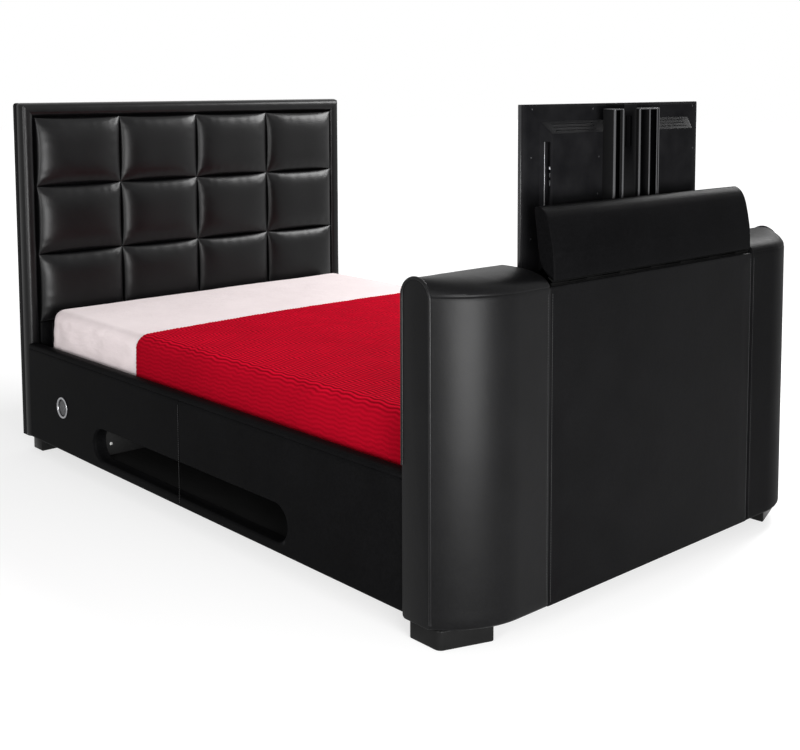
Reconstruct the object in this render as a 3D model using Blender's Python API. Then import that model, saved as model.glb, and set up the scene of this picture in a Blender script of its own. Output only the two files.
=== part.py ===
"""A double bed with a television that rises out of the footboard.

Metres, +Z up, X across the bed, head of the bed at +Y, foot at -Y.
The origin is on the floor, in the middle of the bed's footprint.
"""
import math

import bmesh
import bpy
from mathutils import Matrix, Vector

# Overall and fits
bed_side_step = 0.003
inner_length = 1.970
touch_gap = 0.0003
slide_gap = 0.0005
cut_overrun = 0.010
edge_round = 0.006

# Footboard
footboard_depth = 0.192
footboard_end_depth = 0.0936
footboard_top = 0.8745
footboard_bottom = 0.051
corner_radius = 0.250
arm_inner_x = 0.4425
arm_bottom_round = 0.012
front_panel_top = 0.8355
front_panel_thickness = 0.018
back_panel_top = 0.854
back_panel_thickness = 0.009
floor_board_thickness = 0.018
piping_radius = 0.0045
front_fullness_share = 2.6

# Lid over the television
lid_side_gap = 0.0125
lid_open_angle = math.radians(67.8)
lid_length = 0.1863
lid_rise = 0.0532
lid_rear_overhang = 0.0047
lid_crown_shares = (
    (0.0, 0.62), (0.03, 0.78), (0.10, 0.94), (0.19, 1.0), (0.30, 0.985),
    (0.48, 0.875), (0.66, 0.735), (0.83, 0.53), (0.93, 0.40), (1.0, 0.28),
)
lid_under_shares = ((0.965, 0.19), (0.83, -0.08), (0.70, -0.15), (0.48, -0.02), (0.28, 0.18), (0.0, 0.42))
hinge_height = 0.0050
hinge_inset = 0.0102
hinge_radius = 0.0030
hinge_pin_radius = 0.0012
hinge_leaf = 0.0012
hinge_leaf_width = 0.016
hinge_arm_width = 0.0024
hinge_knuckles = 13
hinge_knuckle_gap = 0.0006

# Headboard
headboard_top = 1.2732
headboard_depth = 0.060
headboard_core_depth = 0.030
border_side_width = 0.054
border_top_height = 0.0531
border_proud = 0.006
border_round = 0.013
tile_columns = 4
tile_rows = 3
tile_height = 0.2477
tile_valley = 0.004
tile_crown = 0.027
tile_draw_in = 0.0015
lower_panel_set_back = 0.004
lower_panel_round = 0.012

# Side rails
rail_outer_width = 1.490
rail_thickness = 0.045
rail_bottom = 0.060
rail_top = 0.4185
rail_roll_height = 0.034
rail_crease = 0.0025
rail_bottom_round = 0.008

# Media opening in the left rail and the shelf box behind it
media_near = 0.4523
media_length = 1.042
media_bottom = 0.090
media_height = 0.107
media_lip = 0.009
shelf_board = 0.016
shelf_top_face = 0.084
shelf_inner_height = 0.136
shelf_depth = 0.430
shelf_margin = 0.009

# Speaker in the left rail
speaker_from_foot = 1.717
speaker_height = 0.2165
speaker_bore_radius = 0.0325
speaker_ring_radius = 0.0370
speaker_ring_lip = 0.0075
speaker_ring_proud = 0.0025
speaker_grille_set_in = 0.0012
speaker_grille_dome = 0.0020
speaker_grille_thickness = 0.0015
speaker_basket_depth = 0.018
speaker_basket_radius = 0.0290
speaker_magnet_radius = 0.020
speaker_magnet_depth = 0.052

# Base of the bed
ledger_width = 0.028
ledger_height = 0.036
slat_width = 0.070
slat_thickness = 0.018
slat_count = 13
slat_end_margin = 0.060
tape_width = 0.030
tape_thickness = 0.003
tape_from_side = 0.180
beam_width = 0.050
beam_height = 0.060
leg_size = 0.045
leg_place_share = 0.5

# Mattress and bedding
mattress_side_gap = 0.025
mattress_length = 1.900
mattress_from_foot = 0.012
mattress_height = 0.219
mattress_bottom = 0.300
mattress_corner_radius = 0.055
mattress_crown = 0.007
mattress_edge_round = 0.022
mattress_draw_in = 0.004
sheet_thickness = 0.0012
sheet_hem = 0.330
blanket_thickness = 0.0055
blanket_length = 1.305
blanket_hem = 0.395

# Feet
foot_inset = 0.013
front_foot_width = 0.140
front_foot_from_face = 0.010
front_foot_side_run = 0.084
front_foot_corner = 0.020
front_foot_slant = 18.8
rear_foot_width = 0.080
rear_foot_depth = 0.068
rear_foot_side_inset = 0.038
foot_round = 0.010

# Television
tv_width = 0.7515
tv_height = 0.456
tv_top = 1.2650
tv_screen_set_back = 0.028
tv_bezel_depth = 0.0213
tv_bezel_width = 0.016
tv_bezel_foot = 0.034
tv_screen_depth = 0.006
tv_screen_recess = 0.0015
tv_rim_thickness = 0.009
tv_slope_rise = 0.003
tv_housing_depth = 0.027
tv_housing_side = 0.056
tv_housing_side_slope = 0.0152
tv_housing_top = 0.043
tv_housing_top_slope = 0.032
tv_housing_foot = 0.036
tv_rim_round = 0.003
port_bay_length = 0.160
port_bay_top_below_tv = 0.093
port_bay_depth = 0.010
port_bay_height = 0.014

# Lift: carriage, middle stage and fixed frame
lift_travel = 0.500
middle_ratio_share = 0.5
channel_width = 0.048
channel_depth = 0.031
channel_wall = 0.0025
channel_left_lip = 0.015
channel_right_lip = 0.008
channel_centre = 0.078
guide_rib_start = 0.009
guide_rib_lip = 0.009
web_thickness = 0.003
web_from_rear = 0.022
carriage_top = 1.2485
carriage_length = 0.609
stage_gap = 0.004
middle_web = 0.002
middle_length = 0.500
middle_bottom = 0.360
frame_top = 0.790
lift_base_height = 0.038
lift_base_width = 0.340
lift_base_depth = 0.078
lift_base_offset = 0.040
motor_radius = 0.028
motor_height = 0.120
motor_x = 0.155
motor_step = 0.006
actuator_radius = 0.0100
actuator_bore = 0.0070
actuator_top = 0.420
actuator_floor = 0.006
rod_radius = 0.0062
rod_bottom = 0.370
rod_top = 0.700
rod_head_height = 0.026
rod_head_width = 0.024
hook_thickness = 0.003
hook_length = 0.260
hook_width = 0.0525
hook_below_tv_top = 0.003
hook_slot_length = 0.080
hook_slot_width = 0.006
hook_slots_centre = -0.0343
hook_slot_pitch = 0.0216
hook_slot_from_top = 0.0165

# Mesh fineness
arc_steps = 6
corner_steps = 8
round_segments = 24
bevel_segments = 2
shell_corner_steps = 4
tube_segments = 8

# Places that follow from the sizes
bed_length = footboard_depth + inner_length + headboard_depth
front_y = -bed_length / 2
foot_face_y = front_y + footboard_depth
head_face_y = foot_face_y + inner_length
back_y = bed_length / 2
half_rail = rail_outer_width / 2
half_width = half_rail + bed_side_step
headboard_width = rail_outer_width
headboard_bottom = rail_bottom
rail_inner_x = half_rail - rail_thickness
mattress_width = 2 * (rail_inner_x - mattress_side_gap)
shoulder_radius = footboard_end_depth / 2
shoulder_top = footboard_top - shoulder_radius
corner_sink = footboard_depth - footboard_end_depth
corner_run = math.sqrt(corner_radius ** 2 - (corner_radius - corner_sink) ** 2)
core_front_y = back_y - headboard_core_depth
tile_width = (headboard_width - 2 * border_side_width) / tile_columns
tiles_top = headboard_top - border_top_height
tiles_bottom = tiles_top - tile_rows * tile_height
border_front_y = head_face_y - border_proud
hinge_y = front_y + hinge_inset
hinge_z = front_panel_top + hinge_height
slat_top = mattress_bottom - touch_gap
slat_bottom = slat_top - slat_thickness
tv_front_y = foot_face_y - tv_screen_set_back
tv_rim_y = tv_front_y - tv_bezel_depth
tv_rear_y = tv_rim_y - tv_slope_rise - tv_housing_depth
tv_bottom = tv_top - tv_height
carriage_front_y = tv_rear_y - touch_gap
carriage_rear_y = carriage_front_y - channel_depth
frame_front_y = carriage_rear_y - stage_gap
frame_rear_y = frame_front_y - channel_depth
web_y = carriage_rear_y + web_from_rear
floor_board_top = footboard_bottom + floor_board_thickness
lift_floor = floor_board_top + touch_gap + lift_base_height + touch_gap
lift_mid_y = (carriage_rear_y + frame_front_y) / 2
actuator_y = lift_mid_y - middle_web / 2 - (web_from_rear + stage_gap / 2 - middle_web / 2) / 2


def clear_scene():
    """Remove whatever the open file holds."""
    for thing in list(bpy.data.objects):
        bpy.data.objects.remove(thing, do_unlink=True)


def material(name, colour, roughness, metallic=0.0):
    """A Principled material, made once and shared."""
    made = bpy.data.materials.get(name)
    if made:
        return made
    made = bpy.data.materials.new(name)
    made.use_nodes = True
    shader = made.node_tree.nodes["Principled BSDF"]
    shader.inputs["Base Color"].default_value = (*colour, 1.0)
    shader.inputs["Roughness"].default_value = roughness
    shader.inputs["Metallic"].default_value = metallic
    made.diffuse_color = (*colour, 1.0)
    return made


def black_leather():
    return material("black_leather", (0.018, 0.018, 0.020), 0.42)


def piping_leather():
    return material("piping_leather", (0.030, 0.030, 0.033), 0.35)


def foot_plastic():
    return material("foot_plastic", (0.012, 0.012, 0.013), 0.30)


def dark_board():
    return material("dark_board", (0.020, 0.019, 0.018), 0.70)


def pine():
    return material("pine", (0.62, 0.45, 0.27), 0.65)


def white_sheeting():
    return material("white_sheeting", (0.88, 0.84, 0.85), 0.90)


def ticking():
    return material("ticking", (0.82, 0.81, 0.79), 0.90)


def red_throw():
    return material("red_throw", (0.62, 0.005, 0.025), 0.92)


def tv_plastic():
    return material("tv_plastic", (0.022, 0.022, 0.024), 0.45)


def screen_glass():
    return material("screen_glass", (0.004, 0.004, 0.005), 0.08)


def dark_steel():
    return material("dark_steel", (0.030, 0.030, 0.032), 0.35, 0.8)


def zinc_steel():
    return material("zinc_steel", (0.55, 0.55, 0.56), 0.35, 1.0)


def satin_silver():
    return material("satin_silver", (0.62, 0.62, 0.63), 0.28, 1.0)


def grey_mesh():
    return material("grey_mesh", (0.16, 0.16, 0.17), 0.60, 0.4)


def add_object(name, mesh, finish, smooth_angle=None):
    """Link a mesh as a named object with one material."""
    made = bpy.data.objects.new(name, mesh)
    bpy.context.scene.collection.objects.link(made)
    mesh.materials.clear()
    mesh.materials.append(finish)
    if smooth_angle is not None:
        mesh.shade_smooth()
        mesh.set_sharp_from_angle(angle=smooth_angle)
    return made


def mesh_from(name, shape):
    """Turn a bmesh into a mesh whose faces point out."""
    bmesh.ops.recalc_face_normals(shape, faces=shape.faces)
    mesh = bpy.data.meshes.new(name)
    shape.to_mesh(mesh)
    shape.free()
    return mesh


def round_edges(item, width, segments=bevel_segments, angle=math.radians(40)):
    """Round the sharp edges of an object."""
    bevel = item.modifiers.new("round", "BEVEL")
    bevel.width = width
    bevel.segments = segments
    bevel.limit_method = "ANGLE"
    bevel.angle_limit = angle
    return item


def box(name, low, high, finish, rounding=0.0):
    """A block between two corners, with rounded edges if asked."""
    shape = bmesh.new()
    bmesh.ops.create_cube(shape, size=1)
    size = Vector(high) - Vector(low)
    middle = (Vector(high) + Vector(low)) / 2
    bmesh.ops.scale(shape, vec=size, verts=shape.verts)
    bmesh.ops.translate(shape, vec=middle, verts=shape.verts)
    made = add_object(name, mesh_from(name, shape), finish)
    if rounding:
        round_edges(made, rounding)
    return made


def place(axis, along, across, up):
    """A point from its place along an axis and across it."""
    if axis == "X":
        return Vector((along, across, up))
    if axis == "Y":
        return Vector((across, along, up))
    return Vector((across, up, along))


def loft(name, rings, finish, smooth_angle=None):
    """Skin between closed rings with as many points each, and cap both ends."""
    shape = bmesh.new()
    made = [[shape.verts.new(point) for point in ring] for ring in rings]
    count = len(made[0])
    for one, two in zip(made, made[1:]):
        for i in range(count):
            j = (i + 1) % count
            shape.faces.new((one[i], one[j], two[j], two[i]))
    shape.faces.new(made[0])
    shape.faces.new(reversed(made[-1]))
    return add_object(name, mesh_from(name, shape), finish, smooth_angle)


def extrude(name, outline, axis, start, end, finish, smooth_angle=None):
    """Run a closed outline straight along an axis."""
    rings = [[place(axis, along, a, b) for a, b in outline] for along in (start, end)]
    return loft(name, rings, finish, smooth_angle)


def revolve(name, profile, origin, axis, finish, smooth_angle=math.radians(35)):
    """Turn a closed profile of (radius, along) points about an axis."""
    shape = bmesh.new()
    rings = []
    for step in range(round_segments):
        angle = 2 * math.pi * step / round_segments
        ring = []
        for radius, along in profile:
            point = place(axis, along, radius * math.cos(angle), radius * math.sin(angle))
            ring.append(shape.verts.new(Vector(origin) + point))
        rings.append(ring)
    count = len(profile)
    for step in range(round_segments):
        one = rings[step]
        two = rings[(step + 1) % round_segments]
        for i in range(count):
            j = (i + 1) % count
            shape.faces.new((one[i], one[j], two[j], two[i]))
    bmesh.ops.remove_doubles(shape, verts=shape.verts, dist=touch_gap / 10)
    bmesh.ops.dissolve_degenerate(shape, edges=shape.edges, dist=touch_gap / 10)
    return add_object(name, mesh_from(name, shape), finish, smooth_angle)


def as_cutter(item):
    """Mark an object as a tool that only shapes another."""
    item.hide_render = True
    item.display_type = "WIRE"
    return item


def cut_away(item, cutter):
    """Cut one object's shape out of another."""
    cut = item.modifiers.new("cut", "BOOLEAN")
    cut.operation = "DIFFERENCE"
    cut.solver = "EXACT"
    cut.object = as_cutter(cutter)
    return item


def join_with(item, other):
    """Join a hidden shape to an object."""
    join = item.modifiers.new("join", "BOOLEAN")
    join.operation = "UNION"
    join.solver = "EXACT"
    join.object = as_cutter(other)
    return item


def arc(centre, radius, start, end, steps):
    """Points of a round stretch, both ends included, angles in degrees."""
    points = []
    for step in range(steps + 1):
        angle = math.radians(start + (end - start) * step / steps)
        points.append((centre[0] + radius * math.cos(angle), centre[1] + radius * math.sin(angle)))
    return points


def depth_at(x):
    """How far the footboard's front stands from its bed side, at a place across it."""
    run = abs(x) - (half_width - corner_run)
    if run <= 0:
        return footboard_depth
    run = min(run, corner_run)
    return footboard_depth - corner_radius + math.sqrt(corner_radius ** 2 - run ** 2)


def top_outline(depth):
    """The padded top of the footboard from its bed side to the front seam, as (y, z)."""
    points = []
    crest_y = foot_face_y - shoulder_radius
    front_run = depth - shoulder_radius
    blend = (depth - footboard_end_depth) / corner_sink
    power = 2 + (front_fullness_share - 2) * blend
    for step in range(arc_steps + 1):
        turn = math.pi / 2 * step / arc_steps
        points.append((
            crest_y + shoulder_radius * math.cos(turn),
            shoulder_top + shoulder_radius * math.sin(turn),
        ))
    for step in range(1, arc_steps + 1):
        turn = math.pi / 2 * step / arc_steps
        points.append((
            crest_y - front_run * math.sin(turn) ** (2 / power),
            shoulder_top + shoulder_radius * math.cos(turn) ** (2 / power),
        ))
    return points


def arm_section(x):
    """The arm's closed outline at one place across the bed."""
    depth = depth_at(x)
    front = foot_face_y - depth
    bottom = footboard_bottom
    lift = arm_bottom_round
    outline = top_outline(depth)
    outline += arc((front + lift, bottom + lift), lift, 180, 270, bevel_segments)
    outline += arc((foot_face_y - lift, bottom + lift), lift, 270, 360, bevel_segments)
    return [Vector((x, y, z)) for y, z in outline]


def piping_path(side):
    """Up the front edge of the end strip, over its round top and down to the rail."""
    x = side * (half_width - piping_radius / 3)
    inset = piping_radius / 6
    front = foot_face_y - footboard_end_depth + inset
    radius = shoulder_radius - inset
    centre_y = foot_face_y - shoulder_radius
    points = [(x, front, footboard_bottom + arm_bottom_round)]
    for step in range(2 * corner_steps + 1):
        turn = math.pi * step / (2 * corner_steps)
        points.append((
            x,
            centre_y - radius * math.cos(turn),
            shoulder_top + radius * math.sin(turn),
        ))
    points.append((x, foot_face_y - inset, rail_top + piping_radius))
    return points


def bent_tube(name, points, radius, finish):
    """A round bar along an upright path across X, with flat ends."""
    knots = [Vector(point) for point in points]
    across = Vector((1, 0, 0))
    rings = []
    for index, knot in enumerate(knots):
        before = knots[max(index - 1, 0)]
        after = knots[min(index + 1, len(knots) - 1)]
        outward = (after - before).normalized().cross(across)
        ring = []
        for step in range(tube_segments):
            angle = 2 * math.pi * step / tube_segments
            ring.append(knot + radius * (math.cos(angle) * across + math.sin(angle) * outward))
        rings.append(ring)
    return loft(name, rings, finish, math.radians(50))


def footboard_arm(side, word):
    """One padded end of the footboard, with a groove for the piping round its end strip."""
    stations = [half_width - corner_run * step / corner_steps for step in range(corner_steps + 1)]
    stations.append(arm_inner_x)
    rings = [arm_section(side * x) for x in stations]
    name = "footboard_arm_" + word
    arm = loft(name, rings, black_leather(), math.radians(30))
    run = piping_path(side)
    for end in (0, -1):
        x, y, z = run[end]
        run[end] = (x, y, z - cut_overrun / 2)
    cut_away(arm, bent_tube(name + "_groove", run, piping_radius + touch_gap, dark_board()))
    bent_tube("piping_" + word, piping_path(side), piping_radius, piping_leather())
    return arm


def footboard_panels():
    """The boards between the two arms, which make the well of the television."""
    side = arm_inner_x - touch_gap
    front_inner = front_y + front_panel_thickness
    back_inner = foot_face_y - back_panel_thickness
    box(
        "footboard_front_panel",
        (-side, front_y, footboard_bottom),
        (side, front_inner, front_panel_top),
        black_leather(),
        edge_round / 2,
    )
    box(
        "footboard_back_panel",
        (-side, back_inner, footboard_bottom),
        (side, foot_face_y, back_panel_top),
        black_leather(),
        edge_round / 3,
    )
    box(
        "footboard_floor",
        (-side, front_inner + touch_gap, footboard_bottom),
        (side, back_inner - touch_gap, floor_board_top),
        dark_board(),
    )


def turned_open(y, z):
    """Where a point of the closed lid goes when the lid is turned open."""
    dy = y - hinge_y
    dz = z - hinge_z
    cosine = math.cos(lid_open_angle)
    sine = math.sin(lid_open_angle)
    return (hinge_y + dy * cosine - dz * sine, hinge_z + dy * sine + dz * cosine)


def lid_outline():
    """The open lid's section: heel, belly and rear edge, then over the crown to the nose."""
    rear_y = foot_face_y + lid_rear_overhang
    closed = []
    for run, rise in lid_under_shares + lid_crown_shares:
        closed.append((rear_y - lid_length * run, front_panel_top + lid_rise * rise))
    return [turned_open(y, z) for y, z in closed]


def lid():
    side = arm_inner_x - lid_side_gap
    return extrude("lid", lid_outline(), "X", -side, side, black_leather(), math.radians(28))


def knuckle(towards, reach):
    """A knuckle's outline with an arm that reaches from it towards its leaf."""
    heading = math.degrees(math.atan2(towards[1], towards[0]))
    spread = math.degrees(math.asin(hinge_arm_width / 2 / hinge_radius))
    outline = arc((hinge_y, hinge_z), hinge_radius, heading + spread, heading + 360 - spread, 10)
    side = Vector((-towards[1], towards[0])) * hinge_arm_width / 2
    tip = Vector((hinge_y, hinge_z)) + Vector(towards) * reach
    outline += [tuple(tip - side), tuple(tip + side)]
    return outline


def add_knuckles(leaf, first, outline):
    """Join every second knuckle of the hinge to its leaf."""
    side = arm_inner_x - lid_side_gap
    pitch = 2 * side / hinge_knuckles
    for index in range(first, hinge_knuckles, 2):
        start = -side + index * pitch + hinge_knuckle_gap / 2
        end = start + pitch - hinge_knuckle_gap
        join_with(leaf, extrude(leaf.name + "_knuckle", outline, "X", start, end, dark_steel()))


def lid_hinge():
    """A piano hinge: one leaf with the pin on the front panel, the other under the lid."""
    side = arm_inner_x - lid_side_gap
    low = front_panel_top + touch_gap
    fixed = box(
        "lid_hinge_fixed_leaf",
        (-side, hinge_y - hinge_radius, low),
        (side, hinge_y + hinge_leaf_width / 2, low + hinge_leaf),
        dark_steel(),
    )
    add_knuckles(fixed, 0, knuckle((0, -1), hinge_z - low - hinge_leaf / 2))
    pin = arc((hinge_y, hinge_z), hinge_pin_radius, 0, 315, 7)
    join_with(fixed, extrude("lid_hinge_pin", pin, "X", -side, side, zinc_steel()))
    heel, belly = [Vector(spot) for spot in lid_outline()[:2]]
    along = (belly - heel).normalized()
    away = Vector((along.y, -along.x))
    axis = Vector((hinge_y, hinge_z))
    distance = (axis - heel).dot(away)
    foot = axis - away * distance
    near = foot + away * touch_gap
    far = foot + away * (touch_gap + hinge_leaf)
    start = along * (hinge_arm_width / 2)
    end = along * hinge_leaf_width
    leaf_outline = [tuple(near - start), tuple(near + end), tuple(far + end), tuple(far - start)]
    moving = extrude("lid_hinge_moving_leaf", leaf_outline, "X", -side, side, dark_steel())
    reach = distance - touch_gap - hinge_leaf / 2
    add_knuckles(moving, 1, knuckle(tuple(-away), reach))
    bore = arc((hinge_y, hinge_z), hinge_pin_radius + touch_gap, 0, 315, 7)
    run = side + cut_overrun
    cut_away(moving, extrude("lid_hinge_bore", bore, "X", -run, run, dark_steel()))


def border_profile(width):
    """A padded border strip's section as (distance from the outer edge, height)."""
    height = core_front_y - touch_gap - border_front_y
    radius = border_round
    outer = arc((radius, height - radius), radius, 180, 90, bevel_segments + 1)
    inner = arc((width - radius, height - radius), radius, 90, 0, bevel_segments + 1)
    return [(0, 0)] + outer + inner + [(width, 0)]


def headboard_border():
    """Three padded strips, mitred at the two upper corners."""
    half = headboard_width / 2
    base_y = core_front_y - touch_gap
    slope = border_top_height / border_side_width
    for side, word in ((-1, "left"), (1, "right")):
        low = []
        high = []
        for inward, height in border_profile(border_side_width - touch_gap):
            x = side * (half - inward)
            low.append(Vector((x, base_y - height, headboard_bottom)))
            high.append(Vector((x, base_y - height, headboard_top - inward * slope - touch_gap)))
        loft("headboard_border_" + word, [low, high], black_leather(), math.radians(30))
    ends = []
    for side in (-1, 1):
        ring = []
        for down, height in border_profile(border_top_height - touch_gap):
            x = side * (half - down / slope - touch_gap)
            ring.append(Vector((x, base_y - height, headboard_top - down)))
        ends.append(ring)
    loft("headboard_border_top", ends, black_leather(), math.radians(30))


def pillow_rise(u, v):
    """Height share of a padded tile at a place from -1 to 1 each way."""
    fall_power = 2.4
    fullness = 0.42
    edge = (1 - abs(u) ** fall_power) * (1 - abs(v) ** fall_power)
    return max(edge, 0.0) ** fullness


def padded_tile(name, x, z):
    """One upholstered square of the headboard: crowned, with sides drawn in between corners."""
    columns = 8
    rows = 6
    shape = bmesh.new()
    base_y = core_front_y - touch_gap
    valley_y = head_face_y - tile_valley
    half_w = tile_width / 2 - touch_gap
    half_h = tile_height / 2 - touch_gap
    front = {}
    for i in range(columns + 1):
        u = math.sin(math.pi / 2 * (2 * i / columns - 1))
        for j in range(rows + 1):
            v = math.sin(math.pi / 2 * (2 * j / rows - 1))
            px = x + u * (half_w - tile_draw_in * (1 - v * v) * abs(u))
            pz = z + v * (half_h - tile_draw_in * (1 - u * u) * abs(v))
            front[i, j] = shape.verts.new((px, valley_y - tile_crown * pillow_rise(u, v), pz))
    for i in range(columns):
        for j in range(rows):
            shape.faces.new((front[i, j], front[i + 1, j], front[i + 1, j + 1], front[i, j + 1]))
    rim = [(i, 0) for i in range(columns)] + [(columns, j) for j in range(rows)]
    rim += [(i, rows) for i in range(columns, 0, -1)] + [(0, j) for j in range(rows, 0, -1)]
    back = [shape.verts.new((front[spot].co.x, base_y, front[spot].co.z)) for spot in rim]
    for k, spot in enumerate(rim):
        following = (k + 1) % len(rim)
        shape.faces.new((front[spot], back[k], back[following], front[rim[following]]))
    shape.faces.new(back)
    return add_object(name, mesh_from(name, shape), black_leather(), math.radians(50))


def headboard():
    half = headboard_width / 2
    box(
        "headboard_core",
        (-half, core_front_y, headboard_bottom),
        (half, back_y, headboard_top),
        black_leather(),
        edge_round / 2,
    )
    headboard_border()
    for row in range(tile_rows):
        for column in range(tile_columns):
            x = -half + border_side_width + tile_width * (column + 1 / 2)
            z = tiles_top - tile_height * (row + 1 / 2)
            padded_tile(f"headboard_tile_r{row + 1}c{column + 1}", x, z)
    side = half - border_side_width - touch_gap
    panel = box(
        "headboard_lower_panel",
        (-side, head_face_y + lower_panel_set_back, headboard_bottom),
        (side, core_front_y - touch_gap, tiles_bottom - touch_gap),
        black_leather(),
    )
    round_edges(panel, lower_panel_round / 2)


def rail_outline(side):
    """The rail's section: a flat board face with a padded roll along its top."""
    outer = half_rail
    radius = rail_thickness / 2
    roll_centre = (outer - radius, rail_top - radius)
    crease = rail_top - rail_roll_height
    points = arc(roll_centre, radius, 180, 0, corner_steps)
    points += [
        (outer, crease + rail_crease),
        (outer - rail_crease, crease),
        (outer, crease - rail_crease),
    ]
    points += arc(
        (outer - rail_bottom_round, rail_bottom + rail_bottom_round),
        rail_bottom_round, 0, -90, bevel_segments,
    )
    points += [(outer - rail_thickness, rail_bottom)]
    return [(side * x, z) for x, z in points]


def pill(x, grow):
    """The media opening's outline at one depth, grown by an amount all round."""
    radius = media_height / 2
    near = foot_face_y + media_near + radius
    far = foot_face_y + media_near + media_length - radius
    middle = media_bottom + radius
    outline = arc((near, middle), radius + grow, 270, 90, corner_steps)
    outline += arc((far, middle), radius + grow, 90, -90, corner_steps)
    return [Vector((x, y, z)) for y, z in outline]


def media_opening():
    """The cutter for the opening, with the padded lip's flare at its mouth."""
    face = -half_rail
    rings = [pill(face - cut_overrun, media_lip)]
    for step in range(bevel_segments + 2):
        turn = math.pi / 2 * step / (bevel_segments + 1)
        depth = media_lip * math.sin(turn)
        rings.append(pill(face + depth, media_lip * (1 - math.sin(math.acos(1 - depth / media_lip)))))
    rings.append(pill(face + rail_thickness + cut_overrun, 0))
    return loft("media_opening_cutter", rings, dark_board())


def side_rails():
    start = foot_face_y + touch_gap
    end = border_front_y - touch_gap
    left = extrude("side_rail_left", rail_outline(-1), "Y", start, end, black_leather(), math.radians(30))
    extrude("side_rail_right", rail_outline(1), "Y", start, end, black_leather(), math.radians(30))
    cut_away(left, media_opening())
    centre = (-half_rail, foot_face_y + speaker_from_foot, speaker_height)
    bore = [
        (0, -cut_overrun),
        (speaker_bore_radius, -cut_overrun),
        (speaker_bore_radius, rail_thickness + cut_overrun),
        (0, rail_thickness + cut_overrun),
    ]
    cut_away(left, revolve("speaker_bore_cutter", bore, centre, "X", dark_board()))


def speaker():
    """A small round loudspeaker let into the left rail: trim ring, grille and driver."""
    centre = (-half_rail, foot_face_y + speaker_from_foot, speaker_height)
    proud = speaker_ring_proud
    inner = speaker_ring_radius - speaker_ring_lip
    lip_round = speaker_ring_lip / 4
    sleeve = speaker_bore_radius - touch_gap
    ring = [
        (inner, -proud / 2),
        (inner + lip_round, -proud),
        (speaker_ring_radius - lip_round, -proud),
        (speaker_ring_radius, -proud / 2),
        (speaker_ring_radius, -touch_gap),
        (sleeve, -touch_gap),
        (sleeve, speaker_grille_dome * 3),
        (inner + touch_gap, speaker_grille_dome * 3),
        (inner, 0),
    ]
    revolve("speaker_ring", ring, centre, "X", satin_silver())
    radius = inner - touch_gap
    face = speaker_grille_set_in
    rise = speaker_grille_dome
    thick = speaker_grille_thickness
    grille = [(0, face)]
    grille += [(radius * step / 4, face + rise * (step / 4) ** 2) for step in range(1, 5)]
    grille += [(radius * step / 4, face + thick + rise * (step / 4) ** 2) for step in range(4, 0, -1)]
    grille.append((0, face + thick))
    revolve("speaker_grille", grille, centre, "X", grey_mesh())
    back = speaker_grille_dome * 3 + touch_gap
    cone_back = back + speaker_basket_depth
    driver = [
        (0, back + speaker_basket_depth / 2),
        (speaker_magnet_radius / 2, back + speaker_basket_depth / 2),
        (speaker_basket_radius - touch_gap, back),
        (sleeve, back),
        (sleeve, back + thick),
        (speaker_basket_radius - touch_gap, back + thick),
        (speaker_magnet_radius, cone_back),
        (speaker_magnet_radius, speaker_magnet_depth),
        (0, speaker_magnet_depth),
    ]
    revolve("speaker_driver", driver, centre, "X", dark_steel())


def media_shelf():
    """The box behind the opening: floor, top, back and two ends."""
    start = foot_face_y + media_near - shelf_margin
    end = foot_face_y + media_near + media_length + shelf_margin
    outer = -(rail_inner_x - touch_gap)
    inner = outer + shelf_depth
    top = shelf_top_face + shelf_inner_height
    board = shelf_board
    gap = touch_gap
    finish = dark_board()
    box(
        "media_shelf_floor",
        (outer, start - board, shelf_top_face - board),
        (inner + board, end + board, shelf_top_face),
        finish,
    )
    box(
        "media_shelf_top",
        (outer, start - board, top),
        (inner + board, end + board, top + board),
        finish,
    )
    low = shelf_top_face + gap
    high = top - gap
    box("media_shelf_back", (inner, start - board, low), (inner + board, end + board, high), finish)
    box("media_shelf_end_foot", (outer, start - board, low), (inner - gap, start, high), finish)
    box("media_shelf_end_head", (outer, end, low), (inner - gap, end + board, high), finish)


def bed_base():
    """Ledgers on the rails, a centre beam on its leg, and slats held by two tapes."""
    ledger_top = slat_bottom - touch_gap
    wall = rail_inner_x - touch_gap
    start = foot_face_y + touch_gap
    end = head_face_y + lower_panel_set_back - touch_gap
    rail_end = border_front_y - touch_gap
    for side, word in ((-1, "left"), (1, "right")):
        xs = sorted((side * wall, side * (wall - ledger_width)))
        box(
            "slat_ledger_" + word,
            (xs[0], start, ledger_top - ledger_height),
            (xs[1], rail_end, ledger_top),
            pine(),
        )
    half_beam = beam_width / 2
    beam_bottom = ledger_top - beam_height
    box("centre_beam", (-half_beam, start, beam_bottom), (half_beam, end, ledger_top), pine())
    half_leg = leg_size / 2
    leg_y = start + (end - start) * leg_place_share
    box(
        "centre_leg",
        (-half_leg, leg_y - half_leg, 0),
        (half_leg, leg_y + half_leg, beam_bottom - touch_gap),
        pine(),
        edge_round / 2,
    )
    first = start + slat_end_margin
    last = end - slat_end_margin - slat_width
    pitch = (last - first) / (slat_count - 1)
    slats = box(
        "slat_set",
        (-wall, first, slat_bottom),
        (wall, first + slat_width, slat_top),
        pine(),
    )
    for index in range(1, slat_count):
        y = first + pitch * index
        low = (-wall, y, slat_bottom)
        high = (wall, y + slat_width, slat_top)
        join_with(slats, box("slat_more", low, high, pine()))
    for side in (-1, 1):
        xs = sorted((side * (wall - tape_from_side), side * (wall - tape_from_side - tape_width)))
        low = (xs[0], first + slat_width / 2, slat_bottom - tape_thickness)
        high = (xs[1], last + slat_width / 2, slat_bottom + tape_thickness)
        join_with(slats, box("slat_tape", low, high, pine()))


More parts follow.
